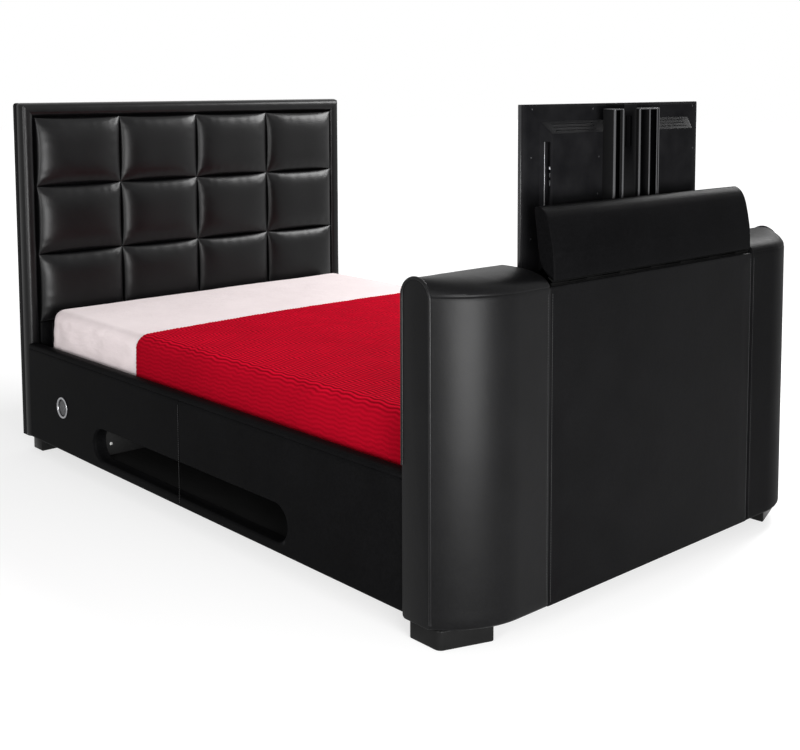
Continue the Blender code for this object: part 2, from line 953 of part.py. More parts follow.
def bedding_ring(inset, z):
    """A rounded rectangle in plan, level at a height and drawn in by an amount."""
    half_w = mattress_width / 2 - inset
    near = foot_face_y + mattress_from_foot + inset
    far = near + mattress_length - 2 * inset
    radius = max(mattress_corner_radius - inset, mattress_edge_round / 4)
    long_parts = 5
    short_parts = 4
    corners = (
        (half_w - radius, far - radius, 0, short_parts),
        (-half_w + radius, far - radius, 90, long_parts),
        (-half_w + radius, near + radius, 180, short_parts),
        (half_w - radius, near + radius, 270, long_parts),
    )
    points = []
    for index, (x, y, start, parts) in enumerate(corners):
        points += arc((x, y), radius, start, start + 90, shell_corner_steps)
        following = corners[(index + 1) % len(corners)]
        angle = math.radians(start + 90)
        one = Vector((x + radius * math.cos(angle), y + radius * math.sin(angle)))
        two = Vector((
            following[0] + radius * math.cos(angle),
            following[1] + radius * math.sin(angle),
        ))
        for step in range(1, parts):
            spot = one.lerp(two, step / parts)
            points.append((spot.x, spot.y))
    return [Vector((x, y, z)) for x, y in points]


def bedding_profile(offset, hem=None):
    """Rings of (inset, height) up the side and over the crowned top, grown by an offset."""
    top = mattress_bottom + mattress_height - mattress_crown
    radius = mattress_edge_round
    rings = []
    for step in range(4):
        turn = math.pi / 2 * step / 3
        rings.append((
            radius - (radius + offset) * math.cos(turn),
            top - radius + (radius + offset) * math.sin(turn),
        ))
    side_run = mattress_width / 2 - radius
    for share in (0.12, 0.35, 0.65):
        rise = mattress_crown * math.sin(math.pi / 2 * share)
        rings.append((radius + side_run * share, top + offset + rise))
    if hem is not None:
        rings.insert(0, (-offset, hem))
    return rings


def mattress():
    """A crowned block whose sides are drawn in between its two edge seams."""
    radius = mattress_edge_round
    low = mattress_bottom
    top_rings = bedding_profile(0.0)
    side_height = top_rings[0][1] - (low + radius)
    rings = []
    for step in range(3):
        turn = math.pi / 2 * step / 3
        rings.append((radius - radius * math.sin(turn), low + radius - radius * math.cos(turn)))
    rings.append((0, low + radius))
    for share in (0.25, 0.5, 0.75):
        waist = mattress_draw_in * math.sin(math.pi * share)
        rings.append((waist, low + radius + side_height * share))
    rings += top_rings
    shaped = [bedding_ring(inset, z) for inset, z in rings]
    loft("mattress", shaped, ticking(), math.radians(40))


def covering(name, inner_offset, thickness, hem, finish):
    """A cloth shell that hugs the mattress's top and sides, open below."""
    outside = [bedding_ring(i, z) for i, z in bedding_profile(inner_offset + thickness, hem)]
    inside = [bedding_ring(i, z) for i, z in bedding_profile(inner_offset, hem)]
    rings = list(reversed(inside)) + outside
    return loft(name, rings, finish, math.radians(40))


def bedding():
    mattress()
    sheet_inner = touch_gap * 2
    covering("fitted_sheet", sheet_inner, sheet_thickness, sheet_hem, white_sheeting())
    throw_inner = sheet_inner + sheet_thickness + touch_gap * 2
    throw = covering("blanket", throw_inner, blanket_thickness, blanket_hem, red_throw())
    half = mattress_width
    edge = foot_face_y + mattress_from_foot + blanket_length
    low = (-half, edge, 0)
    high = (half, edge + mattress_length, rail_top + mattress_height)
    cut_away(throw, box("blanket_cutter", low, high, red_throw()))


def feet():
    """Two blocks with slanted fronts under the footboard and two plain ones under the headboard."""
    outer = half_width - foot_inset
    inner = outer - front_foot_width
    near = foot_face_y - front_foot_from_face
    corner = (outer - front_foot_corner, near - front_foot_side_run)
    bend = arc(corner, front_foot_corner, 0, front_foot_slant - 90, shell_corner_steps)
    fall = (bend[-1][0] - inner) * math.tan(math.radians(front_foot_slant))
    front = [(outer, near)] + bend + [(inner, bend[-1][1] - fall), (inner, near)]
    for side, word in ((-1, "left"), (1, "right")):
        outline = [(side * x, y) for x, y in front]
        made = extrude(
            "foot_front_" + word, outline, "Z", 0, footboard_bottom - touch_gap, foot_plastic()
        )
        round_edges(made, foot_round / 3, 1, math.radians(50))
        xs = sorted((
            side * (headboard_width / 2 - rear_foot_side_inset),
            side * (headboard_width / 2 - rear_foot_side_inset - rear_foot_width),
        ))
        rear = back_y - edge_round
        box(
            "foot_rear_" + word,
            (xs[0], rear - rear_foot_depth, 0),
            (xs[1], rear, headboard_bottom - touch_gap),
            foot_plastic(),
            foot_round / 3,
        )


def rectangle(half, low, high, y):
    """Four corners of an upright rectangle."""
    return [Vector((-half, y, low)), Vector((half, y, low)), Vector((half, y, high)), Vector((-half, y, high))]


def television():
    """A flat panel seen from behind: bezel, screen and rear cover with its raised housing."""
    half = tv_width / 2
    split_y = tv_rim_y + tv_rim_thickness
    bezel = box(
        "tv_bezel",
        (-half, split_y + touch_gap, tv_bottom),
        (half, tv_front_y, tv_top),
        tv_plastic(),
        tv_rim_round / 2,
    )
    window = (
        (-half + tv_bezel_width, split_y - cut_overrun, tv_bottom + tv_bezel_foot),
        (half - tv_bezel_width, tv_front_y + cut_overrun, tv_top - tv_bezel_width),
    )
    cut_away(bezel, box("tv_window_cutter", *window, tv_plastic()))
    box(
        "tv_screen",
        (window[0][0] + touch_gap, split_y + touch_gap, window[0][2] + touch_gap),
        (window[1][0] - touch_gap, tv_front_y - tv_screen_recess, window[1][2] - touch_gap),
        screen_glass(),
    )
    base_half = half - tv_housing_side
    base_low = tv_bottom + tv_housing_foot
    base_high = tv_top - tv_housing_top
    slope_y = tv_rim_y - tv_slope_rise
    rings = [
        rectangle(half, tv_bottom, tv_top, split_y),
        rectangle(half, tv_bottom, tv_top, tv_rim_y + tv_rim_round),
        rectangle(half - tv_rim_round, tv_bottom + tv_rim_round, tv_top - tv_rim_round, tv_rim_y),
        rectangle(base_half, base_low, base_high, slope_y),
        rectangle(
            base_half - tv_housing_side_slope,
            base_low + tv_housing_top_slope,
            base_high - tv_housing_top_slope,
            tv_rear_y,
        ),
    ]
    cover = loft("tv_rear_cover", rings, tv_plastic())
    bay_high = tv_top - port_bay_top_below_tv
    bay_outer = base_half + cut_overrun
    bay_inner = base_half - tv_housing_side_slope - port_bay_depth
    bay_y = tv_rear_y + tv_housing_depth / 4
    for side in (-1, 1):
        xs = sorted((side * bay_inner, side * bay_outer))
        low = (xs[0], bay_y, bay_high - port_bay_length)
        high = (xs[1], bay_y + port_bay_height, bay_high)
        cut_away(cover, box("tv_port_cutter", low, high, tv_plastic()))


def with_mirror(left_half):
    """A closed outline from its left half, mirrored across the middle of the bed."""
    return left_half + [(-x, y) for x, y in reversed(left_half)]


def guide_rib(mouth, mouth_inner, web):
    """The lipped rib on the carriage's web that keeps the television's cables beside the plate."""
    start = guide_rib_start
    return [
        (start, web),
        (start, mouth),
        (start + guide_rib_lip, mouth),
        (start + guide_rib_lip, mouth_inner),
        (start + channel_wall, mouth_inner),
        (start + channel_wall, web),
    ]


def channel_half(mouth, base, web_by_mouth, web_by_base, lip):
    """One lipped channel left of the middle, from the web round to the web."""
    half = channel_width / 2
    slot = half - lip
    centre = -channel_centre
    inward = math.copysign(channel_wall, base - mouth)
    mouth_inner = mouth + inward
    base_inner = base - inward
    outer = centre - half
    inner = centre + half
    return [
        (inner, web_by_base),
        (inner, base),
        (outer, base),
        (outer, mouth),
        (centre - slot, mouth),
        (centre - slot, mouth_inner),
        (outer + channel_wall, mouth_inner),
        (outer + channel_wall, base_inner),
        (inner - channel_wall, base_inner),
        (inner - channel_wall, mouth_inner),
        (centre + slot, mouth_inner),
        (centre + slot, mouth),
        (inner, mouth),
        (inner, web_by_mouth),
    ]


def channel_pair(mouth, base, web_by_mouth, web_by_base, between=()):
    """Outline of two lipped channels joined by a web, open on their mouth side."""
    left = channel_half(mouth, base, web_by_mouth, web_by_base, channel_left_lip)
    right = channel_half(mouth, base, web_by_mouth, web_by_base, channel_right_lip)
    return left + list(between) + [(-x, y) for x, y in reversed(right)]


def middle_outline():
    """Two H-shaped rails, each with a head in a channel of both neighbours, and their web."""
    head = channel_width / 2 - channel_wall - slide_gap
    neck = channel_width / 2 - channel_left_lip - slide_gap
    front_in = carriage_front_y - channel_wall - slide_gap
    front_out = carriage_rear_y + channel_wall + slide_gap
    rear_in = frame_front_y - channel_wall - slide_gap
    rear_out = frame_rear_y + channel_wall + slide_gap
    centre = -channel_centre
    return with_mirror([
        (centre + neck, lift_mid_y + middle_web / 2),
        (centre + neck, front_out),
        (centre + head, front_out),
        (centre + head, front_in),
        (centre - head, front_in),
        (centre - head, front_out),
        (centre - neck, front_out),
        (centre - neck, rear_in),
        (centre - head, rear_in),
        (centre - head, rear_out),
        (centre + head, rear_out),
        (centre + head, rear_in),
        (centre + neck, rear_in),
        (centre + neck, lift_mid_y - middle_web / 2),
    ])


def lift_stages():
    """The moving carriage, the middle stage and the frame that is fixed in the footboard."""
    carriage_low = carriage_top - carriage_length
    rib = guide_rib(carriage_rear_y, carriage_rear_y + channel_wall, web_y)
    outline = channel_pair(carriage_rear_y, carriage_front_y, web_y, web_y + web_thickness, rib)
    extrude("lift_carriage", outline, "Z", carriage_low, carriage_top, dark_steel())
    middle_top = middle_bottom + middle_length
    extrude("lift_middle_stage", middle_outline(), "Z", middle_bottom, middle_top, dark_steel())
    far_web = frame_front_y - web_from_rear
    outline = channel_pair(frame_front_y, frame_rear_y, far_web, far_web - web_thickness)
    extrude("lift_fixed_frame", outline, "Z", lift_floor, frame_top, dark_steel())


def lift_drive():
    """Base with the gears, motor, and the actuator that pushes the middle stage."""
    low = floor_board_top + touch_gap
    middle = (carriage_rear_y + frame_rear_y) / 2
    half_d = lift_base_depth / 2
    base = box(
        "lift_gear_base",
        (lift_base_offset - lift_base_width / 2, middle - half_d, low),
        (lift_base_offset + lift_base_width / 2, middle + half_d, low + lift_base_height),
        dark_steel(),
    )
    round_edges(base, edge_round)
    motor = [
        (0, 0),
        (motor_radius, 0),
        (motor_radius, motor_height - motor_step),
        (motor_radius - motor_step, motor_height - motor_step),
        (motor_radius - motor_step, motor_height),
        (0, motor_height),
    ]
    revolve("lift_motor", motor, (motor_x, middle, lift_floor), "Z", dark_steel())
    tube_height = actuator_top - lift_floor
    tube = [
        (0, 0),
        (actuator_radius, 0),
        (actuator_radius, tube_height),
        (actuator_bore, tube_height),
        (actuator_bore, actuator_floor),
        (0, actuator_floor),
    ]
    revolve("lift_actuator_tube", tube, (0, actuator_y, lift_floor), "Z", zinc_steel())
    rod = [(0, 0), (rod_radius, 0), (rod_radius, rod_top - rod_bottom), (0, rod_top - rod_bottom)]
    made = revolve("lift_actuator_rod", rod, (0, actuator_y, rod_bottom), "Z", zinc_steel())
    seat = lift_mid_y - middle_web / 2 - touch_gap
    half_head = rod_head_width / 2
    head = box(
        "rod_head",
        (-half_head, actuator_y - rod_radius, rod_top - rod_head_height),
        (half_head, seat, rod_top + rod_radius),
        zinc_steel(),
    )
    join_with(made, head)


def hook_plate():
    """The plate that carries the television: up beside the left channel, then bent to the set."""
    rear = carriage_rear_y + touch_gap + hook_thickness
    front = tv_rim_y - tv_slope_rise - touch_gap
    high = tv_top - hook_below_tv_top
    low = high - hook_thickness
    foot = high - hook_length
    outline = [
        (rear, foot),
        (rear, low),
        (front, low),
        (front, high),
        (rear - hook_thickness, high),
        (rear - hook_thickness, foot),
    ]
    start = channel_width / 2 - channel_centre + touch_gap
    made = extrude("tv_hook_plate", outline, "X", start, start + hook_width, dark_steel())
    top = carriage_top - hook_slot_from_top
    radius = hook_slot_width / 2
    for side in (-1, 1):
        x = hook_slots_centre + side * hook_slot_pitch / 2
        slot = arc((x, top - radius), radius, 0, 180, arc_steps)
        slot += arc((x, top - hook_slot_length + radius), radius, 180, 360, arc_steps)
        rings = [
            [Vector((a, y, b)) for a, b in slot]
            for y in (rear + touch_gap / 2, rear - hook_thickness - cut_overrun)
        ]
        cut_away(made, loft("hook_slot_cutter", rings, dark_steel()))
    return made


def build():
    clear_scene()
    headboard()
    side_rails()
    speaker()
    media_shelf()
    bed_base()
    bedding()
    for side, word in ((-1, "left"), (1, "right")):
        footboard_arm(side, word)
    footboard_panels()
    lid()
    lid_hinge()
    feet()
    television()
    lift_stages()
    lift_drive()
    hook_plate()


build()
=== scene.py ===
"""The dressed television bed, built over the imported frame."""
import math

import bmesh
import bpy
import numpy as np
from mathutils import Matrix, Vector, noise


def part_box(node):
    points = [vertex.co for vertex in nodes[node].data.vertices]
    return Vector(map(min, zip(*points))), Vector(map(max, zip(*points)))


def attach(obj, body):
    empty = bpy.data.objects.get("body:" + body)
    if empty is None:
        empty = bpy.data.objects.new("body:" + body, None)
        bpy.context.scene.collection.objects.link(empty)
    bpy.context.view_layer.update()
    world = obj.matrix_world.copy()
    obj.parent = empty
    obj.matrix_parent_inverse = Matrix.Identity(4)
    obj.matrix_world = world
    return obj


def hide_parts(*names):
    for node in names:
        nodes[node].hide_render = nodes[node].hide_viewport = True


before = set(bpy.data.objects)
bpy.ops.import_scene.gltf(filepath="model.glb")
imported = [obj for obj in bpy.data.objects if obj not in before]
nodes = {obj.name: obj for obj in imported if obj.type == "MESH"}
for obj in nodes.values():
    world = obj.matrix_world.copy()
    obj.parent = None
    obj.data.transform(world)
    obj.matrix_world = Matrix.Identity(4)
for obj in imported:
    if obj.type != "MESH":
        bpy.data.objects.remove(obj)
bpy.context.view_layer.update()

# Main places, taken from the frame
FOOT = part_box("footboard_back_panel")[1].y
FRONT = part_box("footboard_front_panel")[0].y
HALF = -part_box("footboard_arm_left")[0].x
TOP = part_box("footboard_arm_left")[1].z
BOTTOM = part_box("footboard_arm_left")[0].z
ARM_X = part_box("footboard_front_panel")[1].x
TILE_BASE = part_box("headboard_core")[0].y
BOARD_HALF, BOARD_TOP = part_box("headboard_core")[1].x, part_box("headboard_core")[1].z
SPEAKER = Vector((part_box("side_rail_left")[0].x, FOOT + 1.717, 0.2165))

# Footboard's plan and shoulder
DEPTH, END_DEPTH, CORNER = FOOT - FRONT, 0.0936, 0.250
SHOULDER = END_DEPTH / 2
SHOULDER_Z = TOP - SHOULDER
ARC_START = HALF - math.sqrt(CORNER ** 2 - (CORNER - DEPTH + END_DEPTH) ** 2)

# Headboard's corners and border strips, as wide at the sides and as high at the top
BOARD_ROUND = 0.011
STRIP_WIDTH, STRIP_HEIGHT = 0.054, 0.0531
GAP = 0.0004

# Seams and the stitches beside them
PANEL_SEAM = 0.640
RAIL_SEAM = FOOT + 0.972
SEAM_STEPS = (-0.003, -0.0012, 0, 0.0012, 0.003)
SEAM_WIDTH = 0.0014
ARM_SEAM = 0.8345
STITCH_LOW, STITCH_HIGH = 0.06, 0.823


# Mesh helpers
def waver(x, y, z):
    """Smooth noise about zero."""
    return noise.noise(Vector((x, y, z)))


def quarter(steps, first=0):
    """Angles that divide a quarter turn."""
    return [math.pi / 2 * k / steps for k in range(first, steps + 1)]


def seam_cuts(seam):
    """Places where a surface needs points to show a seam."""
    return {seam + step for step in SEAM_STEPS}


def groove(distance, depth):
    """How deep a seam sinks at a distance from it."""
    return depth * math.exp(-(distance / SEAM_WIDTH) ** 2)


def soften(mesh, smooth):
    """Smooth shading, but sharp at edges over an angle in degrees."""
    mesh.shade_smooth()
    mesh.set_sharp_from_angle(angle=math.radians(smooth))


def link(name, mesh, mat, smooth=None):
    """A named object with one material."""
    made = bpy.data.objects.new(name, mesh)
    bpy.context.scene.collection.objects.link(made)
    mesh.materials.clear()
    mesh.materials.append(mat)
    if smooth is not None:
        soften(mesh, smooth)
    return made


def settle(obj, body, replaces=None):
    """Let a piece ride on its body and stand for its node."""
    if replaces:
        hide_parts(replaces)
    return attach(obj, body)


def reshape(mesh, change):
    """Put a mesh through one change as a bmesh."""
    shape = bmesh.new()
    shape.from_mesh(mesh)
    change(shape)
    shape.to_mesh(mesh)
    shape.free()


def turn_out(shape):
    bmesh.ops.recalc_face_normals(shape, faces=shape.faces)


def mesh_of(name, verts, faces):
    """A mesh with its faces turned outward."""
    mesh = bpy.data.meshes.new(name)
    mesh.from_pydata([tuple(v) for v in verts], [], [tuple(f) for f in faces])
    reshape(mesh, turn_out)
    mesh.update()
    return mesh


def grid_faces(rows, columns, close_rows=False, close_columns=False):
    """Quads over a grid whose points run row by row."""
    faces = []
    for i in range(rows if close_rows else rows - 1):
        for j in range(columns if close_columns else columns - 1):
            a, b = i * columns, ((i + 1) % rows) * columns
            k = (j + 1) % columns
            faces.append((a + j, a + k, b + k, b + j))
    return faces


def loft(name, rings, mat, smooth):
    """Skin between closed rings of equal count, with both ends filled."""
    count = len(rings[0])
    verts = np.concatenate([np.asarray(r, float) for r in rings])
    faces = grid_faces(len(rings), count, close_columns=True)
    faces.append(tuple(range(count))[::-1])
    faces.append(tuple(range((len(rings) - 1) * count, len(rings) * count)))
    return link(name, mesh_of(name, verts, faces), mat, smooth)


def shell(name, points, base, mat, smooth=60):
    """A grid of points closed by walls back to a flat base at y = base."""
    rows, columns = points.shape[:2]
    verts = points.reshape(-1, 3).tolist()
    faces = grid_faces(rows, columns)
    rim = [(0, j) for j in range(columns)] + [(i, columns - 1) for i in range(1, rows)]
    rim += [(rows - 1, j) for j in range(columns - 2, -1, -1)] + [(i, 0) for i in range(rows - 2, 0, -1)]
    first = len(verts)
    for k, (i, j) in enumerate(rim):
        x, _, z = points[i, j]
        verts.append((x, base, z))
        n = (k + 1) % len(rim)
        ni, nj = rim[n]
        faces.append((i * columns + j, first + k, first + n, ni * columns + nj))
    faces.append(tuple(first + k for k in range(len(rim))))
    return link(name, mesh_of(name, verts, faces), mat, smooth)


def circle(centre, side, other, radius, count):
    """Points round a centre, in the plane of two directions."""
    turns = (2 * math.pi * k / count for k in range(count))
    return [centre + radius * (math.cos(t) * side + math.sin(t) * other) for t in turns]


def tube(name, points, radius, mat, segments):
    """A round bar along a path."""
    knots = [Vector(p) for p in points]
    rings = []
    side = None
    for i, knot in enumerate(knots):
        way = (knots[min(i + 1, len(knots) - 1)] - knots[max(i - 1, 0)]).normalized()
        if side is None:
            side = way.cross(Vector((0, 0, 1)))
            if side.length < 1e-3:
                side = way.cross(Vector((1, 0, 0)))
        else:
            side = side - way * side.dot(way)
        side.normalize()
        rings.append(circle(knot, side, way.cross(side), radius, segments))
    return loft(name, rings, mat, 40)


def revolve(name, profile, origin, axis, mat, segments=64, smooth=35):
    """Turn a closed (radius, along) profile about an axis, X or Y."""
    verts = []
    for s in range(segments):
        t = 2 * math.pi * s / segments
        for radius, along in profile:
            a, b = radius * math.cos(t), radius * math.sin(t)
            p = (along, a, b) if axis == "X" else (a, along, b)
            verts.append([origin[i] + p[i] for i in range(3)])
    mesh = mesh_of(name, verts, grid_faces(segments, len(profile), close_rows=True, close_columns=True))

    def weld(shape):
        bmesh.ops.remove_doubles(shape, verts=shape.verts, dist=1e-6)
        turn_out(shape)

    reshape(mesh, weld)
    return link(name, mesh, mat, smooth)


def join(name, parts, mat):
    """One object from several, each kept closed."""
    shape = bmesh.new()
    for part in parts:
        shape.from_mesh(part.data)
    mesh = bpy.data.meshes.new(name)
    shape.to_mesh(mesh)
    shape.free()
    for part in parts:
        bpy.data.objects.remove(part, do_unlink=True)
    return link(name, mesh, mat, 40)


def block(name, low, high, mat, bevel, segments=2):
    """A block with rounded edges."""
    low, high = Vector(low), Vector(high)
    mesh = bpy.data.meshes.new(name)

    def build(shape):
        bmesh.ops.create_cube(shape, size=1)
        bmesh.ops.scale(shape, vec=high - low, verts=shape.verts)
        bmesh.ops.translate(shape, vec=(high + low) / 2, verts=shape.verts)
        if bevel:
            bmesh.ops.bevel(
                shape, geom=shape.edges[:], offset=bevel, segments=segments, profile=0.5, affect="EDGES"
            )

    reshape(mesh, build)
    return link(name, mesh, mat, 40)


def bake(obj):
    """Put the modifiers' result into the mesh."""
    graph = bpy.context.evaluated_depsgraph_get()
    mats = list(obj.data.materials)
    mesh = bpy.data.meshes.new_from_object(obj.evaluated_get(graph))
    obj.modifiers.clear()
    obj.data = mesh
    mesh.materials.clear()
    for mat in mats:
        mesh.materials.append(mat)
    for face in mesh.polygons:
        face.material_index = 0


def carve(obj, cutter, smooth=30):
    """Cut one mesh out of another, for good."""
    cut = obj.modifiers.new("cut", "BOOLEAN")
    cut.operation = "DIFFERENCE"
    cut.solver = "EXACT"
    cut.object = cutter
    bake(obj)
    bpy.data.objects.remove(cutter, do_unlink=True)
    soften(obj.data, smooth)


def thicken(obj, thickness):
    """Give a cloth its thickness, inward from its face."""
    solid = obj.modifiers.new("thick", "SOLIDIFY")
    solid.thickness = thickness
    solid.offset = -1
    bake(obj)
    obj.data.shade_smooth()


def dress(node, mat, body="bed", bevel=0.0008, segments=2, name=None):
    """A copy of a CAD node with its flat faces made whole and its edges rounded."""
    name = name or node + "_dressed"
    mesh = nodes[node].data.copy()
    mesh.name = name

    def clean(shape):
        bmesh.ops.remove_doubles(shape, verts=shape.verts, dist=1e-5)
        bmesh.ops.dissolve_limit(
            shape, angle_limit=math.radians(1.0), verts=shape.verts, edges=shape.edges, delimit=set()
        )

    reshape(mesh, clean)
    made = link(name, mesh, mat)
    if bevel:
        mod = made.modifiers.new("bevel", "BEVEL")
        mod.width = bevel
        mod.segments = segments
        mod.limit_method = "ANGLE"
        mod.angle_limit = math.radians(30)
        mod.harden_normals = False
        bake(made)
    soften(made.data, 35)
    return settle(made, body, node)


def stitches(name, start, end, out=(0, -1, 0)):
    """A straight row of sewn stitches on a surface that faces out."""
    length, gap, radius, rise, sides = 0.0042, 0.0024, 0.00045, 0.0002, 6
    shares = ((0, 0.35, -1.0), (0.15, 0.85, 0.1), (0.5, 1.0, 0.45), (0.85, 0.85, 0.1), (1, 0.35, -1.0))
    start, out = Vector(start), Vector(out)
    way = Vector(end) - start
    run = way.length
    way.normalize()
    side = way.cross(out).normalized()
    verts, faces = [], []
    at = gap
    while at + length < run:
        first = len(verts)
        for share, size, lift in shares:
            centre = start + way * (at + share * length) + out * (rise + lift * radius)
            verts += circle(centre, side, out, radius * size, sides)
        faces += [tuple(first + i for i in f) for f in grid_faces(len(shares), sides, close_columns=True)]
        last = first + (len(shares) - 1) * sides
        faces.append(tuple(first + k for k in range(sides))[::-1])
        faces.append(tuple(last + k for k in range(sides)))
        at += length + gap
    return settle(link(name, mesh_of(name, verts, faces), M["thread"], 60), "bed")


# Materials
def add_node(tree, kind, inputs, out=0, **settings):
    """Add a shader node, set or link its inputs, and give one of its outputs."""
    node = tree.nodes.new(kind)
    for key, value in settings.items():
        setattr(node, key, value)
    for key, value in inputs.items():
        if isinstance(value, bpy.types.NodeSocket):
            tree.links.new(value, node.inputs[key])
        else:
            node.inputs[key].default_value = value
    return node.outputs[out]


class Nodes:
    """A short way to write a material's node tree."""

    def __init__(self, name):
        self.mat = bpy.data.materials.new(name)
        self.mat.use_nodes = True
        self.tree = self.mat.node_tree
        self.shader = self.tree.nodes["Principled BSDF"]
        self.coords = self.add("ShaderNodeTexCoord", {}, "Object")

    def add(self, kind, inputs, out=0, **settings):
        return add_node(self.tree, kind, inputs, out, **settings)

    def scaled(self, x, y, z):
        return self.add("ShaderNodeMapping", {"Scale": (x, y, z), "Vector": self.coords}, "Vector")

    def noise(self, scale, detail=3.0, rough=0.55, vector=None):
        inputs = {"Scale": scale, "Detail": detail, "Roughness": rough, "Vector": vector or self.coords}
        return self.add("ShaderNodeTexNoise", inputs, "Fac")

    def voronoi(self, scale, feature):
        inputs = {"Scale": scale, "Vector": self.coords}
        return self.add("ShaderNodeTexVoronoi", inputs, "Distance", feature=feature)

    def wave(self, scale, direction, distortion, vector=None):
        inputs = {"Scale": scale, "Distortion": distortion, "Vector": vector or self.coords}
        return self.add("ShaderNodeTexWave", inputs, "Fac", wave_type="BANDS", bands_direction=direction)

    def ramp(self, fac, *stops):
        out = self.add("ShaderNodeValToRGB", {"Fac": fac}, "Color")
        for element, (place, colour) in zip(out.node.color_ramp.elements, stops):
            element.position = place
            element.color = (*((colour,) * 3 if isinstance(colour, float) else colour), 1)
        return out

    def span(self, fac, low, high):
        return self.add("ShaderNodeMapRange", {"To Min": low, "To Max": high, "Value": fac}, "Result")

    def maths(self, operation, a, b):
        return self.add("ShaderNodeMath", {0: a, 1: b}, operation=operation)

    def blend(self, a, b, share=0.5):
        """Two values by their shares, which add up to one."""
        return self.maths("ADD", self.maths("MULTIPLY", a, share), self.maths("MULTIPLY", b, 1 - share))

    def mix(self, fac, a, b, kind="MIX"):
        a, b = ((*v, 1) if isinstance(v, tuple) else v for v in (a, b))
        return self.add("ShaderNodeMix", {0: fac, 6: a, 7: b}, 2, data_type="RGBA", blend_type=kind)

    def rubbed(self, low, high):
        """Where edges stand out and rub."""
        return self.ramp(self.add("ShaderNodeNewGeometry", {}, "Pointiness"), (low, 0.0), (high, 1.0))

    def bump(self, height, strength, distance, before=None):
        inputs = {"Strength": strength, "Distance": distance, "Height": height}
        if before:
            inputs["Normal"] = before
        return self.add("ShaderNodeBump", inputs, "Normal")

    def finish(self, colour, rough, normal, **values):
        """Link the shader's main inputs and set its plain ones."""
        for key, value in values.items():
            self.shader.inputs[key.replace("_", " ")].default_value = value
        for key, socket in (("Base Color", colour), ("Roughness", rough), ("Normal", normal)):
            self.tree.links.new(socket, self.shader.inputs[key])
        return self.mat


def grey(level, blue):
    """A grey with its own blue."""
    return (level, level, blue)


def paler(colour, gain, lift):
    return tuple(min(1, c * gain + lift) for c in colour)


def leather(name, dark, light, rough, level, crease=0.35):
    """Coated leather cloth: pebbled grain, pores, mottled sheen, soft creases and rubbed edges."""
    n = Nodes(name)
    grain = 620.0
    cells = n.voronoi(grain, "SMOOTH_F1")
    pores = n.noise(grain * 2.2, 2.0)
    soft = n.noise(9.0, 3.0, 0.5)
    broad = n.noise(2.2, 2.0)
    mottle = n.noise(190.0, 3.0, 0.7)
    colour = n.ramp(n.blend(soft, broad), (0.3, dark), (0.7, light))
    colour = n.mix(0.6, colour, n.ramp(cells, (0.0, 1.0), (0.9, 0.72)), "MULTIPLY")
    colour = n.mix(0.7, colour, n.ramp(mottle, (0.35, 0.55), (0.65, 1.4)), "MULTIPLY")
    worn = n.rubbed(0.53, 0.62)
    colour = n.mix(n.maths("MULTIPLY", worn, 0.35), colour, paler(light, 3.0, 0.01))
    sheen = n.span(n.blend(soft, mottle), rough[0] - 0.03, rough[1] + 0.03)
    roughness = n.maths("ADD", sheen, n.maths("MULTIPLY", worn, -0.06))
    fine = n.bump(n.maths("ADD", cells, n.maths("MULTIPLY", pores, 0.4)), 0.55, 0.00016)
    medium = n.bump(mottle, 0.35, 0.00035, fine)
    coarse = n.bump(n.noise(26.0, 4.0, 0.6), crease, 0.0009, medium)
    return n.finish(colour, roughness, coarse, Specular_IOR_Level=level)


def cotton(name, low, high, weave=900.0, wrinkle=0.5):
    """Plain woven cotton with a faint warm tint and soft creases."""
    n = Nodes(name)
    warp, weft, up = (n.wave(weave, direction, 0.4) for direction in "XYZ")
    thread = n.maths("ADD", n.maths("MULTIPLY", warp, weft), up)
    fibre = n.noise(420.0, 3.0)
    colour = n.ramp(n.blend(n.noise(5.0, 4.0, 0.6), fibre, 0.6), (0.3, low), (0.7, high))
    fine = n.bump(thread, 0.2, 0.0002)
    coarse = n.bump(n.noise(16.0, 5.0, 0.62, n.scaled(1.0, 1.0, 2.2)), wrinkle, 0.004, fine)
    return n.finish(
        colour, n.span(fibre, 0.82, 0.96), coarse,
        Specular_IOR_Level=0.25, Sheen_Weight=0.12, Sheen_Roughness=0.5,
    )


def throw_cloth(name):
    """Crimson woven bedspread: yarn, uneven dye, and painted shade between the ribs and down its sides."""
    n = Nodes(name)
    yarn = n.noise(380.0, 3.0, 0.6, n.scaled(1.0, 0.3, 1.0))
    cross = n.wave(260.0, "Y", 1.2)
    # Painted shade: the attribute read here darkens the red between the ribs and down the sides.
    rib_shade = n.add("ShaderNodeAttribute", {}, "Fac", attribute_name="rib_shade")
    shade = n.ramp(rib_shade, (0.05, 0.0), (0.75, 1.0))
    colour = n.mix(shade, (0.15, 0.0009, 0.004), (0.80, 0.0050, 0.030))
    tone = n.ramp(n.blend(n.noise(4.0, 3.0), yarn), (0.3, 0.80), (0.7, 1.0))
    colour = n.mix(1.0, colour, tone, "MULTIPLY")
    fine = n.bump(n.maths("ADD", yarn, n.maths("MULTIPLY", cross, 0.5)), 0.45, 0.0006)
    return n.finish(colour, n.span(yarn, 0.85, 0.98), fine, Specular_IOR_Level=0.02)


def moulded(name, dark, light, rough, grain=1400.0, depth=0.00006, level=0.4):
    """Moulded plastic with a fine spark texture."""
    n = Nodes(name)
    soft = n.noise(14.0, 3.0)
    colour = n.ramp(soft, (0.3, dark), (0.7, light))
    colour = n.mix(n.maths("MULTIPLY", n.rubbed(0.52, 0.62), 0.3), colour, paler(light, 3, 0.02))
    fine = n.bump(n.noise(grain, 2.0), 0.35, depth)
    return n.finish(colour, n.span(soft, *rough), fine, Specular_IOR_Level=level)


